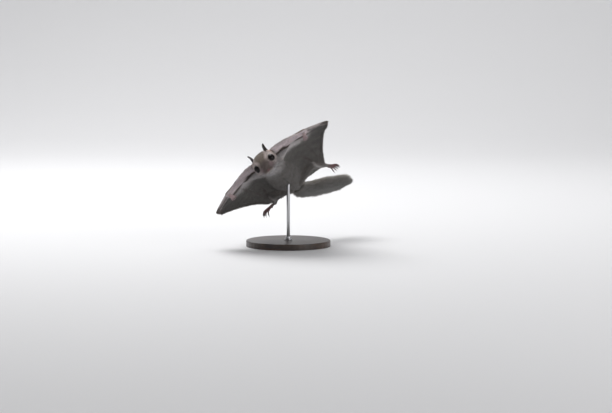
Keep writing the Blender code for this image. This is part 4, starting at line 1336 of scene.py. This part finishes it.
class FLYER_OT_coat(Operator):
    """Grow the coat of head, trunk, limbs and membranes"""

    bl_idname = "flyer.coat"
    bl_label = "Coat"

    def execute(self, context):
        coat = context.scene.flyer_coat
        rng = np.random.default_rng(coat.seed)
        roots, weights, normals, in_head, rim, border = self.sown(coat, rng)
        ways = self.combed(rng, roots, weights, normals, rim)
        sizes = self.sizes(coat, rng, weights, in_head, np.maximum(rim, border * 0.8))
        colours = self.colours(context.scene, rng, roots, normals, weights, rim)
        tufts = (roots, normals, ways, *sizes, colours, map_places(roots))
        pieces = coat_piece_names(roots, normals, weights)
        for name in sorted(set(pieces)):
            region = name.split("_")[1]
            grow(name, tufts, pieces == name, region if region in CLUMPS else "body", rng)
        return {"FINISHED"}

    @staticmethod
    def sown(coat, rng):
        """Roots in the body frame, with their regions' weights, normals, places in the head's frame,
        and how near they lie to the membranes' rim and rear edge."""
        mesh = bpy.data.objects["skin"].data
        points = points_of(mesh)
        weights = region_weights(Neighbours(mesh), points)
        in_body = moved(BODY.inverted(), points)
        normals = normals_of(mesh) @ BODY_TURN
        in_head = moved(HEAD.inverted(), points)
        amounts = region_values(weights, "tufts") * coat.thickness
        amounts *= 1 + 0.9 * share_of("head", weights) * ramp(-2, -14, in_head[:, 1])
        wing = share_of("wing", weights)
        rim = ramp(0.75, 0.35, np.abs(normals[:, 2])) * (wing > 0.5)
        border = near_rear_edge(in_body) * wing
        amounts *= (1 + 3.0 * rim) * (1 + 1.1 * border * (1 - rim))
        amounts *= in_body[:, 1] < TRUNK_END + 4
        chosen, shares = sample(mesh, amounts, rng)
        rows = [blend(row, chosen, shares) for row in (in_body, weights, normals, in_head, rim, border)]
        keep = ~bald(rows[3], rows[1]) & ~beside_rod(moved(BODY, rows[0]))
        roots, weights, normals, in_head, rim, border = (row[keep] for row in rows)
        return roots, weights, unit(normals), in_head, rim, border

    @staticmethod
    def combed(rng, roots, weights, normals, rim):
        """The way each tuft lies, ruffled a little and lifted off the membranes' rim."""
        ways = lie(roots, weights)
        turn = 0.16 * ripple(roots, size=6, seed=21) + rng.normal(0, 0.10, len(roots))
        ways = unit(ways + np.cross(normals, ways) * turn[:, None] + normals * (0.3 * rim)[:, None])
        return laid_flat(ways, normals, 1 - 0.5 * rim)

    @staticmethod
    def sizes(coat, rng, weights, in_head, edge):
        """Length, width and lift of each tuft, smaller on the face and at the membranes' edges."""
        count = len(weights)
        lengths = region_values(weights, "hair", coat) * rng.uniform(0.72, 1.15, count)
        widths = region_values(weights, "width") * rng.uniform(0.8, 1.2, count)
        lifts = np.radians(region_values(weights, "lift")) * rng.uniform(0.5, 1.5, count)
        muzzle = ramp(2, -15, in_head[:, 1])
        eyes = np.minimum(*[from_eye(in_head, side)[1] for _, side in SIDES])
        face = mix(1.0, 0.36, muzzle) * mix(0.45, 1.0, ramp(6.0, 10.0, eyes))
        head = share_of("head", weights)
        lengths *= mix(1.0, face, head)
        widths *= mix(1.0, mix(1.0, 0.62, muzzle), head)
        lengths *= 1 - 0.42 * edge
        widths *= 1 - 0.50 * edge
        return lengths, widths, lifts

    @staticmethod
    def colours(scene, rng, roots, normals, weights, rim):
        """Linear colours of the tufts: the markings, pale tips on the rim and each tuft's own tone."""
        coat = scene.flyer_coat
        count = len(roots)
        colours = markings(scene, roots, normals, weights)
        colours = laid_over(colours, coat.fringe, rim * (rng.random(count) < 0.55) * 0.5)
        webs = share_of("wing", weights) + share_of("hind", weights)
        tone = np.exp(rng.normal(0, 1, count) * mix(0.13, 0.08, webs))[:, None]
        warm = 1 + rng.normal(0, 0.02, count)[:, None] * np.array((1.0, 0.0, -1.0))
        return linear(np.clip(colours * warm, 0, 1)) * tone


class FLYER_OT_tail_coat(Operator):
    """Comb the tail's long hair out to both sides"""

    bl_idname = "flyer.tail_coat"
    bl_label = "Tail coat"

    def execute(self, context):
        coat = context.scene.flyer_coat
        rng = np.random.default_rng(coat.seed + 1)
        count = int(TAIL_TUFTS * coat.thickness)
        share = rng.random(count) ** 0.92 * TAIL_CORE_END
        turn = rng.uniform(0, FULL_TURN, count)
        centres, ways, across, up = tail_frames(share)
        half_widths, half_heights = along(TAIL_CORE_SECTIONS, share)
        c = np.cos(turn)[:, None]
        s = np.sin(turn)[:, None]
        roots = centres + across * c * half_widths[:, None] + up * s * half_heights[:, None]
        normals = unit(across * c / half_widths[:, None] + up * s / half_heights[:, None])
        end = ramp(0.80, 0.96, share)
        ruffled = 1 + 0.10 * ripple(roots, size=7, seed=31)
        slant = np.radians(mix(44, 30, share)) * (1 - 0.75 * end) * ruffled
        slant = (slant + rng.normal(0, 0.06, count))[:, None]
        sideways = np.sign(c) * np.abs(c) ** mix(0.95, 1.4, end)[:, None]
        sideways = sideways + rng.normal(0, 0.16, (count, 1))
        lengths = along(TAIL_REACH, share)[0] * in_millimetres(coat.tail_hair)
        middle = mix(0.70, 1.0, np.abs(c[:, 0]))
        lengths = lengths * mix(middle, 1.0, end) * rng.uniform(0.78, 1.04, count)
        out = unit(across * sideways * np.sin(slant) + ways * np.cos(slant) + up * s * 0.10)
        tops = laid_flat(unit(up * np.where(s >= 0, 1.0, -1.0) + normals * 0.4), out)
        widths = rng.uniform(0.26, 0.46, count)
        lifts = np.radians(rng.uniform(1, 6, count))
        edge = np.abs(c[:, 0]) ** 3
        base = np.array(coat.tail) * (1 + 0.10 * ripple(roots, size=9, seed=33))[:, None]
        # The underside takes the membranes' colour: partly its own tone, partly painted shade.
        under = ramp(0.1, -0.5, s[:, 0])
        base = laid_over(base, coat.membrane, under * 0.9)
        base = laid_over(base, coat.fringe, edge * 0.65 * (rng.random(count) < 0.6))
        dark = ramp(0.62, 1.0, share) * (s[:, 0] > 0)
        base = laid_over(base, coat.shade, dark * 0.35)
        tone = np.exp(rng.normal(0, 0.14, count))[:, None]
        colours = linear(np.clip(base, 0, 1)) * tone
        tufts = (roots, tops, out, lengths, widths, lifts, colours, map_places(roots))
        for name, own in (("coat_tail_left", c[:, 0] > 0), ("coat_tail_right", c[:, 0] <= 0)):
            grow(name, tufts, own, "tail", rng, TAIL_RINGS)
        return {"FINISHED"}


# Head


class FLYER_OT_eyes(Operator):
    """Set the eyeballs and their dark lids"""

    bl_idname = "flyer.eyes"
    bl_label = "Eyes and lids"

    def execute(self, context):
        face = context.scene.flyer_face
        radius = in_millimetres(face.eye_radius)
        ball_material = self.eye_material(face)
        lid_material = bare_material("lid_skin", face.rim, roughness=0.42, scale=3200.0, depth=0.00012)
        for label, side in SIDES:
            place = HEAD @ gaze_matrix(side)
            bm = bmesh.new()
            bmesh.ops.create_uvsphere(bm, u_segments=64, v_segments=40, radius=radius)
            for vert in bm.verts:
                front = max(vert.co.z / radius, 0.0)
                vert.co.z += EYE_BULGE * front**6
            new_piece(f"eyeball_{label}", bm, ball_material, [f"eye_{label}"], place)
            lids = self.lids(radius, side)
            new_piece(f"lids_{label}", lids, lid_material, place=place)
        return {"FINISHED"}

    @staticmethod
    def eye_material(face):
        """A glossy, nearly black eye with a faint brown iris."""
        values = {"Roughness": 0.10, "Specular IOR Level": 0.20}
        material, shader = new_material("eye_gloss", values)
        speckle = noise(material, object_places(material), scale=900.0, detail=4.0)
        shaded(material, shader, plain(material, face.iris), speckle, low=0.25, high=1.1)
        return material

    @staticmethod
    def lids(radius, side):
        """A soft ring that follows the eyeball, a little pointed towards the nose."""
        bm = bmesh.new()
        upright = Matrix.Translation((1, 0, 0)) @ Matrix.Rotation(math.pi / 2, 4, "X")
        bmesh.ops.create_circle(bm, segments=12, radius=LID_SECTION, matrix=upright)
        spun(bm, bm.verts[:] + bm.edges[:], steps=72)
        for vert in bm.verts:
            around = math.atan2(vert.co.y, vert.co.x)
            section_x = (math.hypot(vert.co.x, vert.co.y) - 1) / LID_SECTION
            section_z = vert.co.z / LID_SECTION
            point = max(math.cos(around - (math.pi if side > 0 else 0) + 0.35 * side), 0) ** 10
            opening = LID_OPENING + 0.07 * math.cos(2 * around) + 0.10 * point
            angle = opening + 0.055 + LID_HALF_ANGLE * section_x
            reach = radius + 0.06 + LID_HALF_THICKNESS * section_z
            level = Vector((math.cos(around), math.sin(around), 0)) * math.sin(angle)
            vert.co = (level + Vector((0, 0, math.cos(angle)))) * reach
        bmesh.ops.recalc_face_normals(bm, faces=bm.faces)
        return bm


class FLYER_OT_nose(Operator):
    """Model the bare nose with its nostrils"""

    bl_idname = "flyer.nose"
    bl_label = "Nose"

    def execute(self, context):
        bm = bmesh.new()
        add_ball(bm, NOSE_CENTRE, NOSE_RADII + Vector((0.02, 0.02, 0.02)), segments=56, rings=40)
        for vert in bm.verts:
            spot = vert.co.copy()
            rise = -0.20 * bell(spot.x, 0.22) * (1 if spot.z < -7.6 else 0.3)
            for _, side in SIDES:
                rise += 0.22 * bell((spot - mirrored(NOSTRIL, side)).length, 1.1)
                pit = (spot.x - side * 1.35) ** 2 / 0.20 + (spot.z + 8.3) ** 2 / 0.16
                rise -= 0.85 * math.exp(-pit - (spot.y + 20) ** 2 / 1.2)
            vert.co += (spot - NOSE_CENTRE).normalized() * rise
        colour = context.scene.flyer_face.nose
        material = bare_material("nose_skin", colour, roughness=0.40, scale=4200.0, depth=0.00015)
        new_piece("nose", bm, material, place=HEAD)
        return {"FINISHED"}


def ear_surface(side, u, v):
    """A point of the ear's middle sheet, in the head's frame."""
    lean = mirrored(EAR_LEAN, side)
    opening = mirrored(EAR_OPENING, side)
    opening = (opening - lean * opening.dot(lean)).normalized()
    across = lean.cross(opening)
    width = EAR_HALF_WIDTH * math.sqrt(1 - ((u - EAR_WIDEST) / (EAR_OVAL_END - EAR_WIDEST)) ** 2)
    turn = (v - 0.5) * math.pi * mix(*EAR_CURL, u)
    drop = EAR_TIP_ROUNDING * u**6 * math.sin(turn) ** 2
    point = mirrored(EAR_ROOT, side) + lean * (EAR_LENGTH * (u - drop) - EAR_SUNK)
    return point + across * width * math.sin(turn) - opening * width * math.cos(turn) * EAR_DEPTH


class FLYER_OT_ears(Operator):
    """Model the thin ears with short hair on them"""

    bl_idname = "flyer.ears"
    bl_label = "Ears"

    def execute(self, context):
        face = context.scene.flyer_face
        look = {"roughness": 0.6, "scale": 1500.0, "depth": 0.0002, "variation": 0.25}
        material = bare_material("ear_skin", face.ear, **look)
        rng = np.random.default_rng(context.scene.flyer_coat.seed + 2)
        rows = []
        for label, side in SIDES:
            bm = bmesh.new()
            bmesh.ops.create_grid(bm, x_segments=26, y_segments=26, size=0.5)
            for vert in bm.verts:
                u = 1 - (0.5 - vert.co.x) ** 1.5
                v = vert.co.y + 0.5
                vein = 0.12 * math.sin(v * 34) * math.sin(math.pi * v) * (1 - u)
                vert.co = ear_surface(side, u, v) + mirrored(EAR_OPENING, side) * vein
            bmesh.ops.recalc_face_normals(bm, faces=bm.faces)
            bmesh.ops.solidify(bm, geom=bm.faces[:], thickness=0.55)
            bmesh.ops.recalc_face_normals(bm, faces=bm.faces)
            bm.normal_update()
            lean = mirrored(EAR_LEAN, side)
            for vert in bm.verts:
                grown = (vert.co - mirrored(EAR_ROOT, side)).dot(lean) + EAR_SUNK
                for _ in range(3 if grown > 3 else 0):
                    rows.append((vert.co + Vector(rng.uniform(-0.25, 0.25, 3)), vert.normal.copy(), lean))
            new_piece(f"ear_shell_{label}", bm, material, [f"ear_{label}"], HEAD)
        self.hair(face, rng, *np.array(rows).swapaxes(0, 1))
        return {"FINISHED"}

    @staticmethod
    def hair(face, rng, roots, normals, ways):
        """Short hair that lies towards the ear's tip."""
        count = len(roots)
        roots = moved(HEAD_IN_BODY, roots)
        normals = normals @ HEAD_TURN.T
        ways = laid_flat(ways @ HEAD_TURN.T + rng.normal(0, 0.12, (count, 3)), normals)
        lengths = rng.uniform(0.5, 1.1, count)
        widths = rng.uniform(0.07, 0.11, count)
        lifts = np.radians(rng.uniform(4, 14, count))
        colours = linear(np.array(face.ear)) * rng.uniform(0.8, 1.8, count)[:, None]
        tufts = (roots, normals, ways, lengths, widths, lifts, colours, map_places(roots))
        grow("coat_ears", tufts, slice(None), "ear", rng)


class FLYER_OT_whiskers(Operator):
    """Set the whiskers on lips, brows and cheeks"""

    bl_idname = "flyer.whiskers"
    bl_label = "Whiskers"

    def execute(self, context):
        longest = in_millimetres(context.scene.flyer_face.whisker)
        rng = np.random.default_rng(context.scene.flyer_coat.seed + 3)
        values = {"Base Color": (0.012, 0.009, 0.008, 1.0), "Roughness": 0.35}
        material, _ = new_material("whisker_hair", values)
        bm = bmesh.new()
        for _, side in SIDES:
            for row in range(4):
                for place in range(5):
                    step = Vector((0.25 * place, 1.15 * place, 1.7 - 1.15 * row - 0.12 * place))
                    way = Vector((0.86, 0.30 + 0.10 * place, 0.34 - 0.24 * row))
                    length = longest * (0.50 + 0.125 * place) * rng.uniform(0.9, 1.05)
                    self.whisker(bm, side, WHISKER_PAD + step, way, length, rng)
            for first, step, way, share, count in OTHER_WHISKERS:
                for place in range(count):
                    self.whisker(bm, side, first + step * place, way, longest * share, rng)
        bmesh.ops.recalc_face_normals(bm, faces=bm.faces)
        new_piece("whiskers", bm, material, place=HEAD)
        return {"FINISHED"}

    @staticmethod
    def whisker(bm, side, root, way, length, rng):
        """One hair that bends back and thins to its tip."""
        root = mirrored(root, side)
        way = (mirrored(way, side) + Vector(rng.normal(0, 0.05, 3))).normalized()
        bend = Vector((0, 0.34, -0.12))
        points = [root - way * 1.2]
        radii = [0.0]
        for i in range(9):
            t = i / 8
            points.append(root + (way * t + bend * t * t) * length)
            radii.append(0.065 * (1 - t) ** 0.8 + 0.006 * (i < 8))
        rolled(bm, points, radii, sides=5)


# Paws


def paw_axes(side, paw):
    """Start, way, curl and cross directions of a hand or foot, in the body frame."""
    way = mirrored(paw.way[side], side)
    curl = mirrored(paw.curl_way, side)
    start = mirrored(paw.joint[side], side) + way * paw.start
    curl = (curl - way * curl.dot(way)).normalized()
    return start, way, curl, way.cross(curl).normalized()


def digits(side, paw):
    """For each digit: its root, way, curl direction, length and curl."""
    start, way, curl_way, across = paw_axes(side, paw)
    found = []
    for i, (length, curl, back) in enumerate(paw.digits):
        place = i - (len(paw.digits) - 1) / 2
        turn = math.radians(paw.spread) * place
        out = way * math.cos(turn) + across * math.sin(turn)
        root = start + way * paw.length + across * paw.radii[1] * 0.42 * place - way * (0.6 + back)
        found.append((root, out, curl_way, length + back, curl))
    return found


def digit_point(root, way, curl_way, length, curl, t):
    """A point of a digit at a share of its length."""
    angle = curl * t * t
    return root + (way * math.cos(angle * 0.6) + curl_way * math.sin(angle)) * length * t


class FLYER_OT_paws(Operator):
    """Model hands and feet with pads, knuckles, claws and short hair"""

    bl_idname = "flyer.paws"
    bl_label = "Hands and feet"

    def execute(self, context):
        scene = context.scene
        paws = scene.flyer_paws
        paw_skin = self.paw_material()
        horn = bare_material("claw_horn", paws.claw, roughness=0.28, scale=5000.0, depth=0.00005)
        claws = bmesh.new()
        rng = np.random.default_rng(scene.flyer_coat.seed + 4)
        for label, side in SIDES:
            for paw in (HAND, FOOT):
                mesh = remeshed(self.flesh(side, paw), paws.voxel)
                points = Neighbours(mesh).smooth(points_of(mesh), times=3)
                set_points(mesh, points)
                paint(mesh, linear(self.colours(scene, moved(BODY.inverted(), points), side, paw)))
                name = f"{paw.name}_skin_{label}"
                own_piece(name, mesh, paw_skin, [f"{paw.name}_{label}"])
                self.hair(scene, mesh, f"coat_{paw.name}_{label}", side, paw, rng)
                for digit in digits(side, paw):
                    self.claw(claws, digit, paw.claw_radius)
        bmesh.ops.recalc_face_normals(claws, faces=claws.faces)
        new_piece("claws", claws, horn, place=BODY)
        return {"FINISHED"}

    @staticmethod
    def paw_material():
        """Finely creased bare skin, painted from wrist or ankle to the claws."""
        material, shader = new_material("paw_skin", {"Roughness": 0.5, "Specular IOR Level": 0.4})
        grain = noise(material, object_places(material), scale=2600.0)
        shaded(material, shader, painted(material), grain, low=0.82, high=1.18)
        bump(material, shader, grain, distance=0.0002, strength=0.7)
        return material

    @staticmethod
    def colours(scene, points, side, paw):
        """Display colours of a paw: the coat's at its root, bare skin from there on."""
        start, way, _, _ = paw_axes(side, paw)
        forward = (points - np.array(start)) @ np.array(way)
        shading = 1 - 0.25 * ramp(*paw.tips, forward)
        bare = np.array(getattr(scene.flyer_paws, paw.name)) * shading[:, None]
        coat = getattr(scene.flyer_coat, paw.coat)
        return laid_over(bare, coat, ramp(*paw.fade, forward) * COVER["paw_root"])

    @staticmethod
    def flesh(side, paw):
        """Overlapping balls along palm, digits and pads."""
        start, way, curl_way, across = paw_axes(side, paw)
        radii = paw.radii
        turn = Matrix((across, way, across.cross(way))).transposed().to_4x4()
        bm = bmesh.new()

        def ball(centre, size, flatness=1.0):
            """A ball that may be flattened from back to sole."""
            place = BODY @ Matrix.Translation(centre) @ turn
            add_ball(bm, Vector(), (size, size, size * flatness), place, segments=12, rings=8)

        for i in range(12):
            t = i / 11
            centre = start + way * mix(-PAW_WRIST, paw.length - radii[1] * 0.5, t)
            size = mix(radii[0], radii[1], t) * (1 - 0.10 * math.sin(math.pi * t))
            ball(centre, size, flatness=0.60)
        radius = paw.digit_radius
        for digit in digits(side, paw):
            for i in range(14):
                t = i / 13 * 0.76
                knuckle = 1 + 0.12 * math.sin(t * 17.0) - 0.14 * t
                ball(digit_point(*digit, t), radius * knuckle)
            root, out = digit[:2]
            ball(digit_point(*digit, 0.66) + curl_way * radius * 0.35, radius * 0.95, 0.9)
            ball(root + out * 1.2 + curl_way * radius * 0.8, radius * 1.05, 0.8)
        for place in (-0.5, 0.5):
            centre = start + way * paw.length * 0.45 + across * radii[1] * place
            ball(centre + curl_way * radii[1] * 0.30, radii[1] * 0.36, 0.8)
        return bm

    @staticmethod
    def claw(bm, digit, radius):
        """A curved horn claw that leaves the digit's tip."""
        curl_way = digit[2]
        points = []
        radii = []
        for i in range(9):
            t = i / 8
            hook = curl_way * 0.66 * t * t
            points.append(digit_point(*digit, mix(CLAW_START, CLAW_END, t)) + hook)
            radii.append(radius * (1 - t) ** 0.75 * min(1.0, 4 * t + 0.001))
        rolled(bm, points, radii, sides=10, height=1.25)

    @staticmethod
    def hair(scene, mesh, name, side, paw, rng):
        """Short hair over the back of the paw and each digit, towards the claws."""
        start, way, curl_way, _ = paw_axes(side, paw)
        normals = normals_of(mesh) @ BODY_TURN
        in_body = moved(BODY.inverted(), points_of(mesh))
        forward = (in_body - np.array(start)) @ np.array(way)
        back = ramp(0.05, -0.45, normals @ np.array(curl_way))
        cuff = ramp(*paw.cuff, forward)
        amounts = PAW_HAIR_ON_A_MM2 * np.clip(back + cuff, 0, 1) * (forward > -2.6)
        chosen, shares = sample(mesh, amounts, rng)
        roots = blend(in_body, chosen, shares)
        normals = unit(blend(normals, chosen, shares))
        count = len(roots)
        ways = laid_flat(np.array(way) + rng.normal(0, 0.14, (count, 3)), normals)
        cuff = blend(cuff, chosen, shares)
        lengths = mix(rng.uniform(0.8, 1.4, count), rng.uniform(1.8, 2.8, count), cuff)
        widths = rng.uniform(0.09, 0.15, count)
        lifts = np.radians(rng.uniform(6, 18, count))
        colours = linear(FLYER_OT_paws.colours(scene, roots, side, paw) * 1.12)
        colours = colours * np.exp(rng.normal(0, 0.15, count))[:, None]
        tufts = (roots, normals, ways, lengths, widths, lifts, colours, map_places(roots))
        grow(name, tufts, slice(None), "paw", rng)


# Stand and stage


class FLYER_OT_stand(Operator):
    """Finish the stand's base and rod, and add the rod's collar"""

    bl_idname = "flyer.stand"
    bl_label = "Stand"

    def execute(self, context):
        stand = context.scene.flyer_stand
        steel = self.steel_material(stand)
        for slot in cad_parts["stand_base"].material_slots:
            slot.material = self.wood_material(stand)
        low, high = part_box("stand_rod")
        radius = (high.x - low.x) / 2
        middle = (low + high) / 2
        bm = bmesh.new()
        bmesh.ops.create_cone(
            bm, cap_ends=True, segments=64, radius1=radius, radius2=radius,
            depth=high.z - low.z + ROD_INTO_COAT * MM,
            matrix=Matrix.Translation(middle + Vector((0, 0, ROD_INTO_COAT * MM / 2))),
        )
        beveled(bm, sharper_than=1.0, offset=0.1 * MM)
        new_piece("rod", bm, steel, ["stand_rod"])
        foot = Vector((middle.x, middle.y, low.z))
        collar = self.collar(in_millimetres(radius), in_millimetres(stand.collar))
        place = Matrix.Translation(foot) @ Matrix.Scale(MM, 4)
        new_piece("rod_collar", collar, steel, place=place)
        return {"FINISHED"}

    @staticmethod
    def collar(inner, outer):
        """A stepped ring, in millimetres, that stands a little into the base."""
        profile = (
            (inner + 0.05, COLLAR_HEIGHT),
            (inner + 0.9, COLLAR_HEIGHT),
            (inner + 1.3, COLLAR_HEIGHT - 0.5),
            (inner + 1.4, 2.2),
            (outer - 0.5, 1.1),
            (outer, 0.6),
            (outer, -COLLAR_SUNK),
            (inner + 0.05, -COLLAR_SUNK),
        )
        bm = bmesh.new()
        corners = [bm.verts.new((x, 0, z)) for x, z in profile]
        edges = [bm.edges.new(pair) for pair in zip(corners, corners[1:] + corners[:1])]
        spun(bm, corners + edges, steps=64)
        bmesh.ops.recalc_face_normals(bm, faces=bm.faces)
        beveled(bm, sharper_than=0.6, offset=0.12)
        return bm

    @staticmethod
    def wood_material(stand):
        """Stained wood with long grain, under a satin varnish."""
        values = {"Roughness": 0.42, "Coat Weight": 0.35, "Coat Roughness": 0.25}
        material, shader = new_material("stained_wood", values)
        place = object_places(material, (5.0, 70.0, 70.0))
        bands = noise(material, place, scale=1.6, detail=6.0, roughness=0.6)
        grain = add_node(material, "ShaderNodeValToRGB")
        stops = ((0.36, stand.wood_dark), (0.66, stand.wood))
        for element, (position, colour) in zip(grain.color_ramp.elements, stops):
            element.position = position
            element.color = opaque(colour)
        link(material, bands, grain.inputs["Fac"])
        pores = noise(material, object_places(material, (60.0, 1500.0, 1500.0)), scale=1.0)
        shaded(material, shader, grain.outputs["Color"], pores, low=0.75, high=1.15)
        bump(material, shader, pores, distance=0.0002, strength=0.35)
        return material

    @staticmethod
    def steel_material(stand):
        """Satin steel with fine rings from turning."""
        values = {"Metallic": 1.0, "Roughness": 0.30, "Base Color": opaque(stand.metal)}
        material, shader = new_material("satin_steel", values)
        rings = noise(material, object_places(material, (200.0, 200.0, 5200.0)), scale=1.0, detail=2.0)
        shaded(material, shader, plain(material, stand.metal), rings, low=0.88, high=1.08)
        bump(material, shader, rings, distance=0.00004, strength=0.5)
        return material


class FLYER_OT_stage(Operator):
    """Set the camera, the pale floor and the soft lights"""

    bl_idname = "flyer.stage"
    bl_label = "Stage"

    def execute(self, context):
        stage = context.scene.flyer_stage
        self.camera(context, stage)
        self.floor(stage)
        target = BODY @ HELD_AT
        self.light("key_light", target, Vector((-0.45, 0.80, 1.35)), size=1.2, power=stage.key)
        self.light("fill_light", target, Vector((1.40, -1.25, 0.50)), size=1.3, power=stage.fill)
        backdrop = Vector((0, 3.0, 1.3))
        self.light("back_light", backdrop, Vector((0, -2.5, 1.5)), size=3.0, power=stage.back)
        world = bpy.data.worlds.new("soft_room")
        context.scene.world = world
        world.use_nodes = True
        background = world.node_tree.nodes["Background"]
        background.inputs["Color"].default_value = opaque(stage.floor)
        background.inputs["Strength"].default_value = stage.world
        context.scene.view_settings.view_transform = "Standard"
        return {"FINISHED"}

    @staticmethod
    def camera(context, stage):
        """A long lens a little above the animal, with its face where the photo has it."""
        tilt = math.radians(CAMERA_TILT)
        right = Vector((1, 0, 0))
        look = Vector((0, math.cos(tilt), -math.sin(tilt)))
        up = right.cross(look)
        pixel = stage.view_width / PHOTO_WIDTH
        aside = (stage.face_across - PHOTO_WIDTH / 2) * pixel
        below = (stage.face_down - PHOTO_HEIGHT / 2) * pixel
        aim = HEAD.translation - right * aside + up * below
        data = bpy.data.cameras.new("camera")
        data.sensor_width = SENSOR_WIDTH
        data.lens = SENSOR_WIDTH * stage.distance / stage.view_width
        camera = in_scene("camera", data)
        place = Matrix((right, up, -look)).transposed().to_4x4()
        place.translation = aim - look * stage.distance
        camera.matrix_world = place
        context.scene.camera = camera

    @staticmethod
    def floor(stage):
        """A floor that curves up into a backdrop."""
        bm = bmesh.new()
        bmesh.ops.create_grid(bm, x_segments=2, y_segments=60, size=1.0)
        for vert in bm.verts:
            run = (vert.co.y + 1) / 2 * FLOOR_RUN
            bend = min(max(run - FLOOR_BEHIND, 0.0), math.pi / 2)
            rise = max(run - FLOOR_BEHIND - math.pi / 2, 0.0)
            y = min(run, FLOOR_BEHIND) + math.sin(bend) + FLOOR_FRONT
            vert.co = Vector((vert.co.x * FLOOR_HALF_WIDTH, y, 1 - math.cos(bend) + rise))
        mesh = mesh_from("floor", bm)
        mesh.shade_smooth()
        values = {"Roughness": 0.7, "Base Color": opaque(stage.floor)}
        material, _ = new_material("pale_floor", values)
        mesh.materials.append(material)
        floor = in_scene("floor", mesh)

    @staticmethod
    def light(name, target, offset, size, power):
        """A round light at an offset from what it is turned to."""
        data = bpy.data.lights.new(name, "AREA")
        data.shape = "DISK"
        data.size = size
        data.energy = power
        light = in_scene(name, data)
        light.location = target + offset
        light.rotation_euler = (-offset).to_track_quat("-Z", "Y").to_euler()


class FLYER_PT_panel(Panel):
    """Lists the settings and the steps."""

    bl_label = "Flying squirrel"
    bl_idname = "FLYER_PT_panel"
    bl_space_type = "VIEW_3D"
    bl_region_type = "UI"
    bl_category = "Flying squirrel"

    def draw(self, context):
        for attribute, settings in SETTINGS.items():
            box = self.layout.box()
            box.label(text=settings.__doc__)
            for name in settings.__annotations__:
                box.prop(getattr(context.scene, attribute), name)
        for operator in OPERATORS:
            self.layout.operator(operator.bl_idname)


SETTINGS = {
    "flyer_skin": SkinSettings,
    "flyer_coat": CoatSettings,
    "flyer_face": FaceSettings,
    "flyer_paws": PawSettings,
    "flyer_stand": StandSettings,
    "flyer_stage": StageSettings,
}
OPERATORS = (
    FLYER_OT_stage,
    FLYER_OT_skin,
    FLYER_OT_coat,
    FLYER_OT_tail_coat,
    FLYER_OT_eyes,
    FLYER_OT_nose,
    FLYER_OT_ears,
    FLYER_OT_whiskers,
    FLYER_OT_paws,
    FLYER_OT_stand,
)


def register():
    for attribute, settings in SETTINGS.items():
        bpy.utils.register_class(settings)
        setattr(bpy.types.Scene, attribute, PointerProperty(type=settings))
    for operator in OPERATORS:
        bpy.utils.register_class(operator)
    bpy.utils.register_class(FLYER_PT_panel)


def unregister():
    bpy.utils.unregister_class(FLYER_PT_panel)
    for operator in reversed(OPERATORS):
        bpy.utils.unregister_class(operator)
    for attribute, settings in SETTINGS.items():
        delattr(bpy.types.Scene, attribute)
        bpy.utils.unregister_class(settings)


def main():
    register()
    bpy.ops.flyer.stage()
    bpy.ops.flyer.skin()
    bpy.ops.flyer.coat()
    bpy.ops.flyer.tail_coat()
    bpy.ops.flyer.eyes()
    bpy.ops.flyer.nose()
    bpy.ops.flyer.ears()
    bpy.ops.flyer.whiskers()
    bpy.ops.flyer.paws()
    bpy.ops.flyer.stand()


if __name__ == "__main__":
    main()
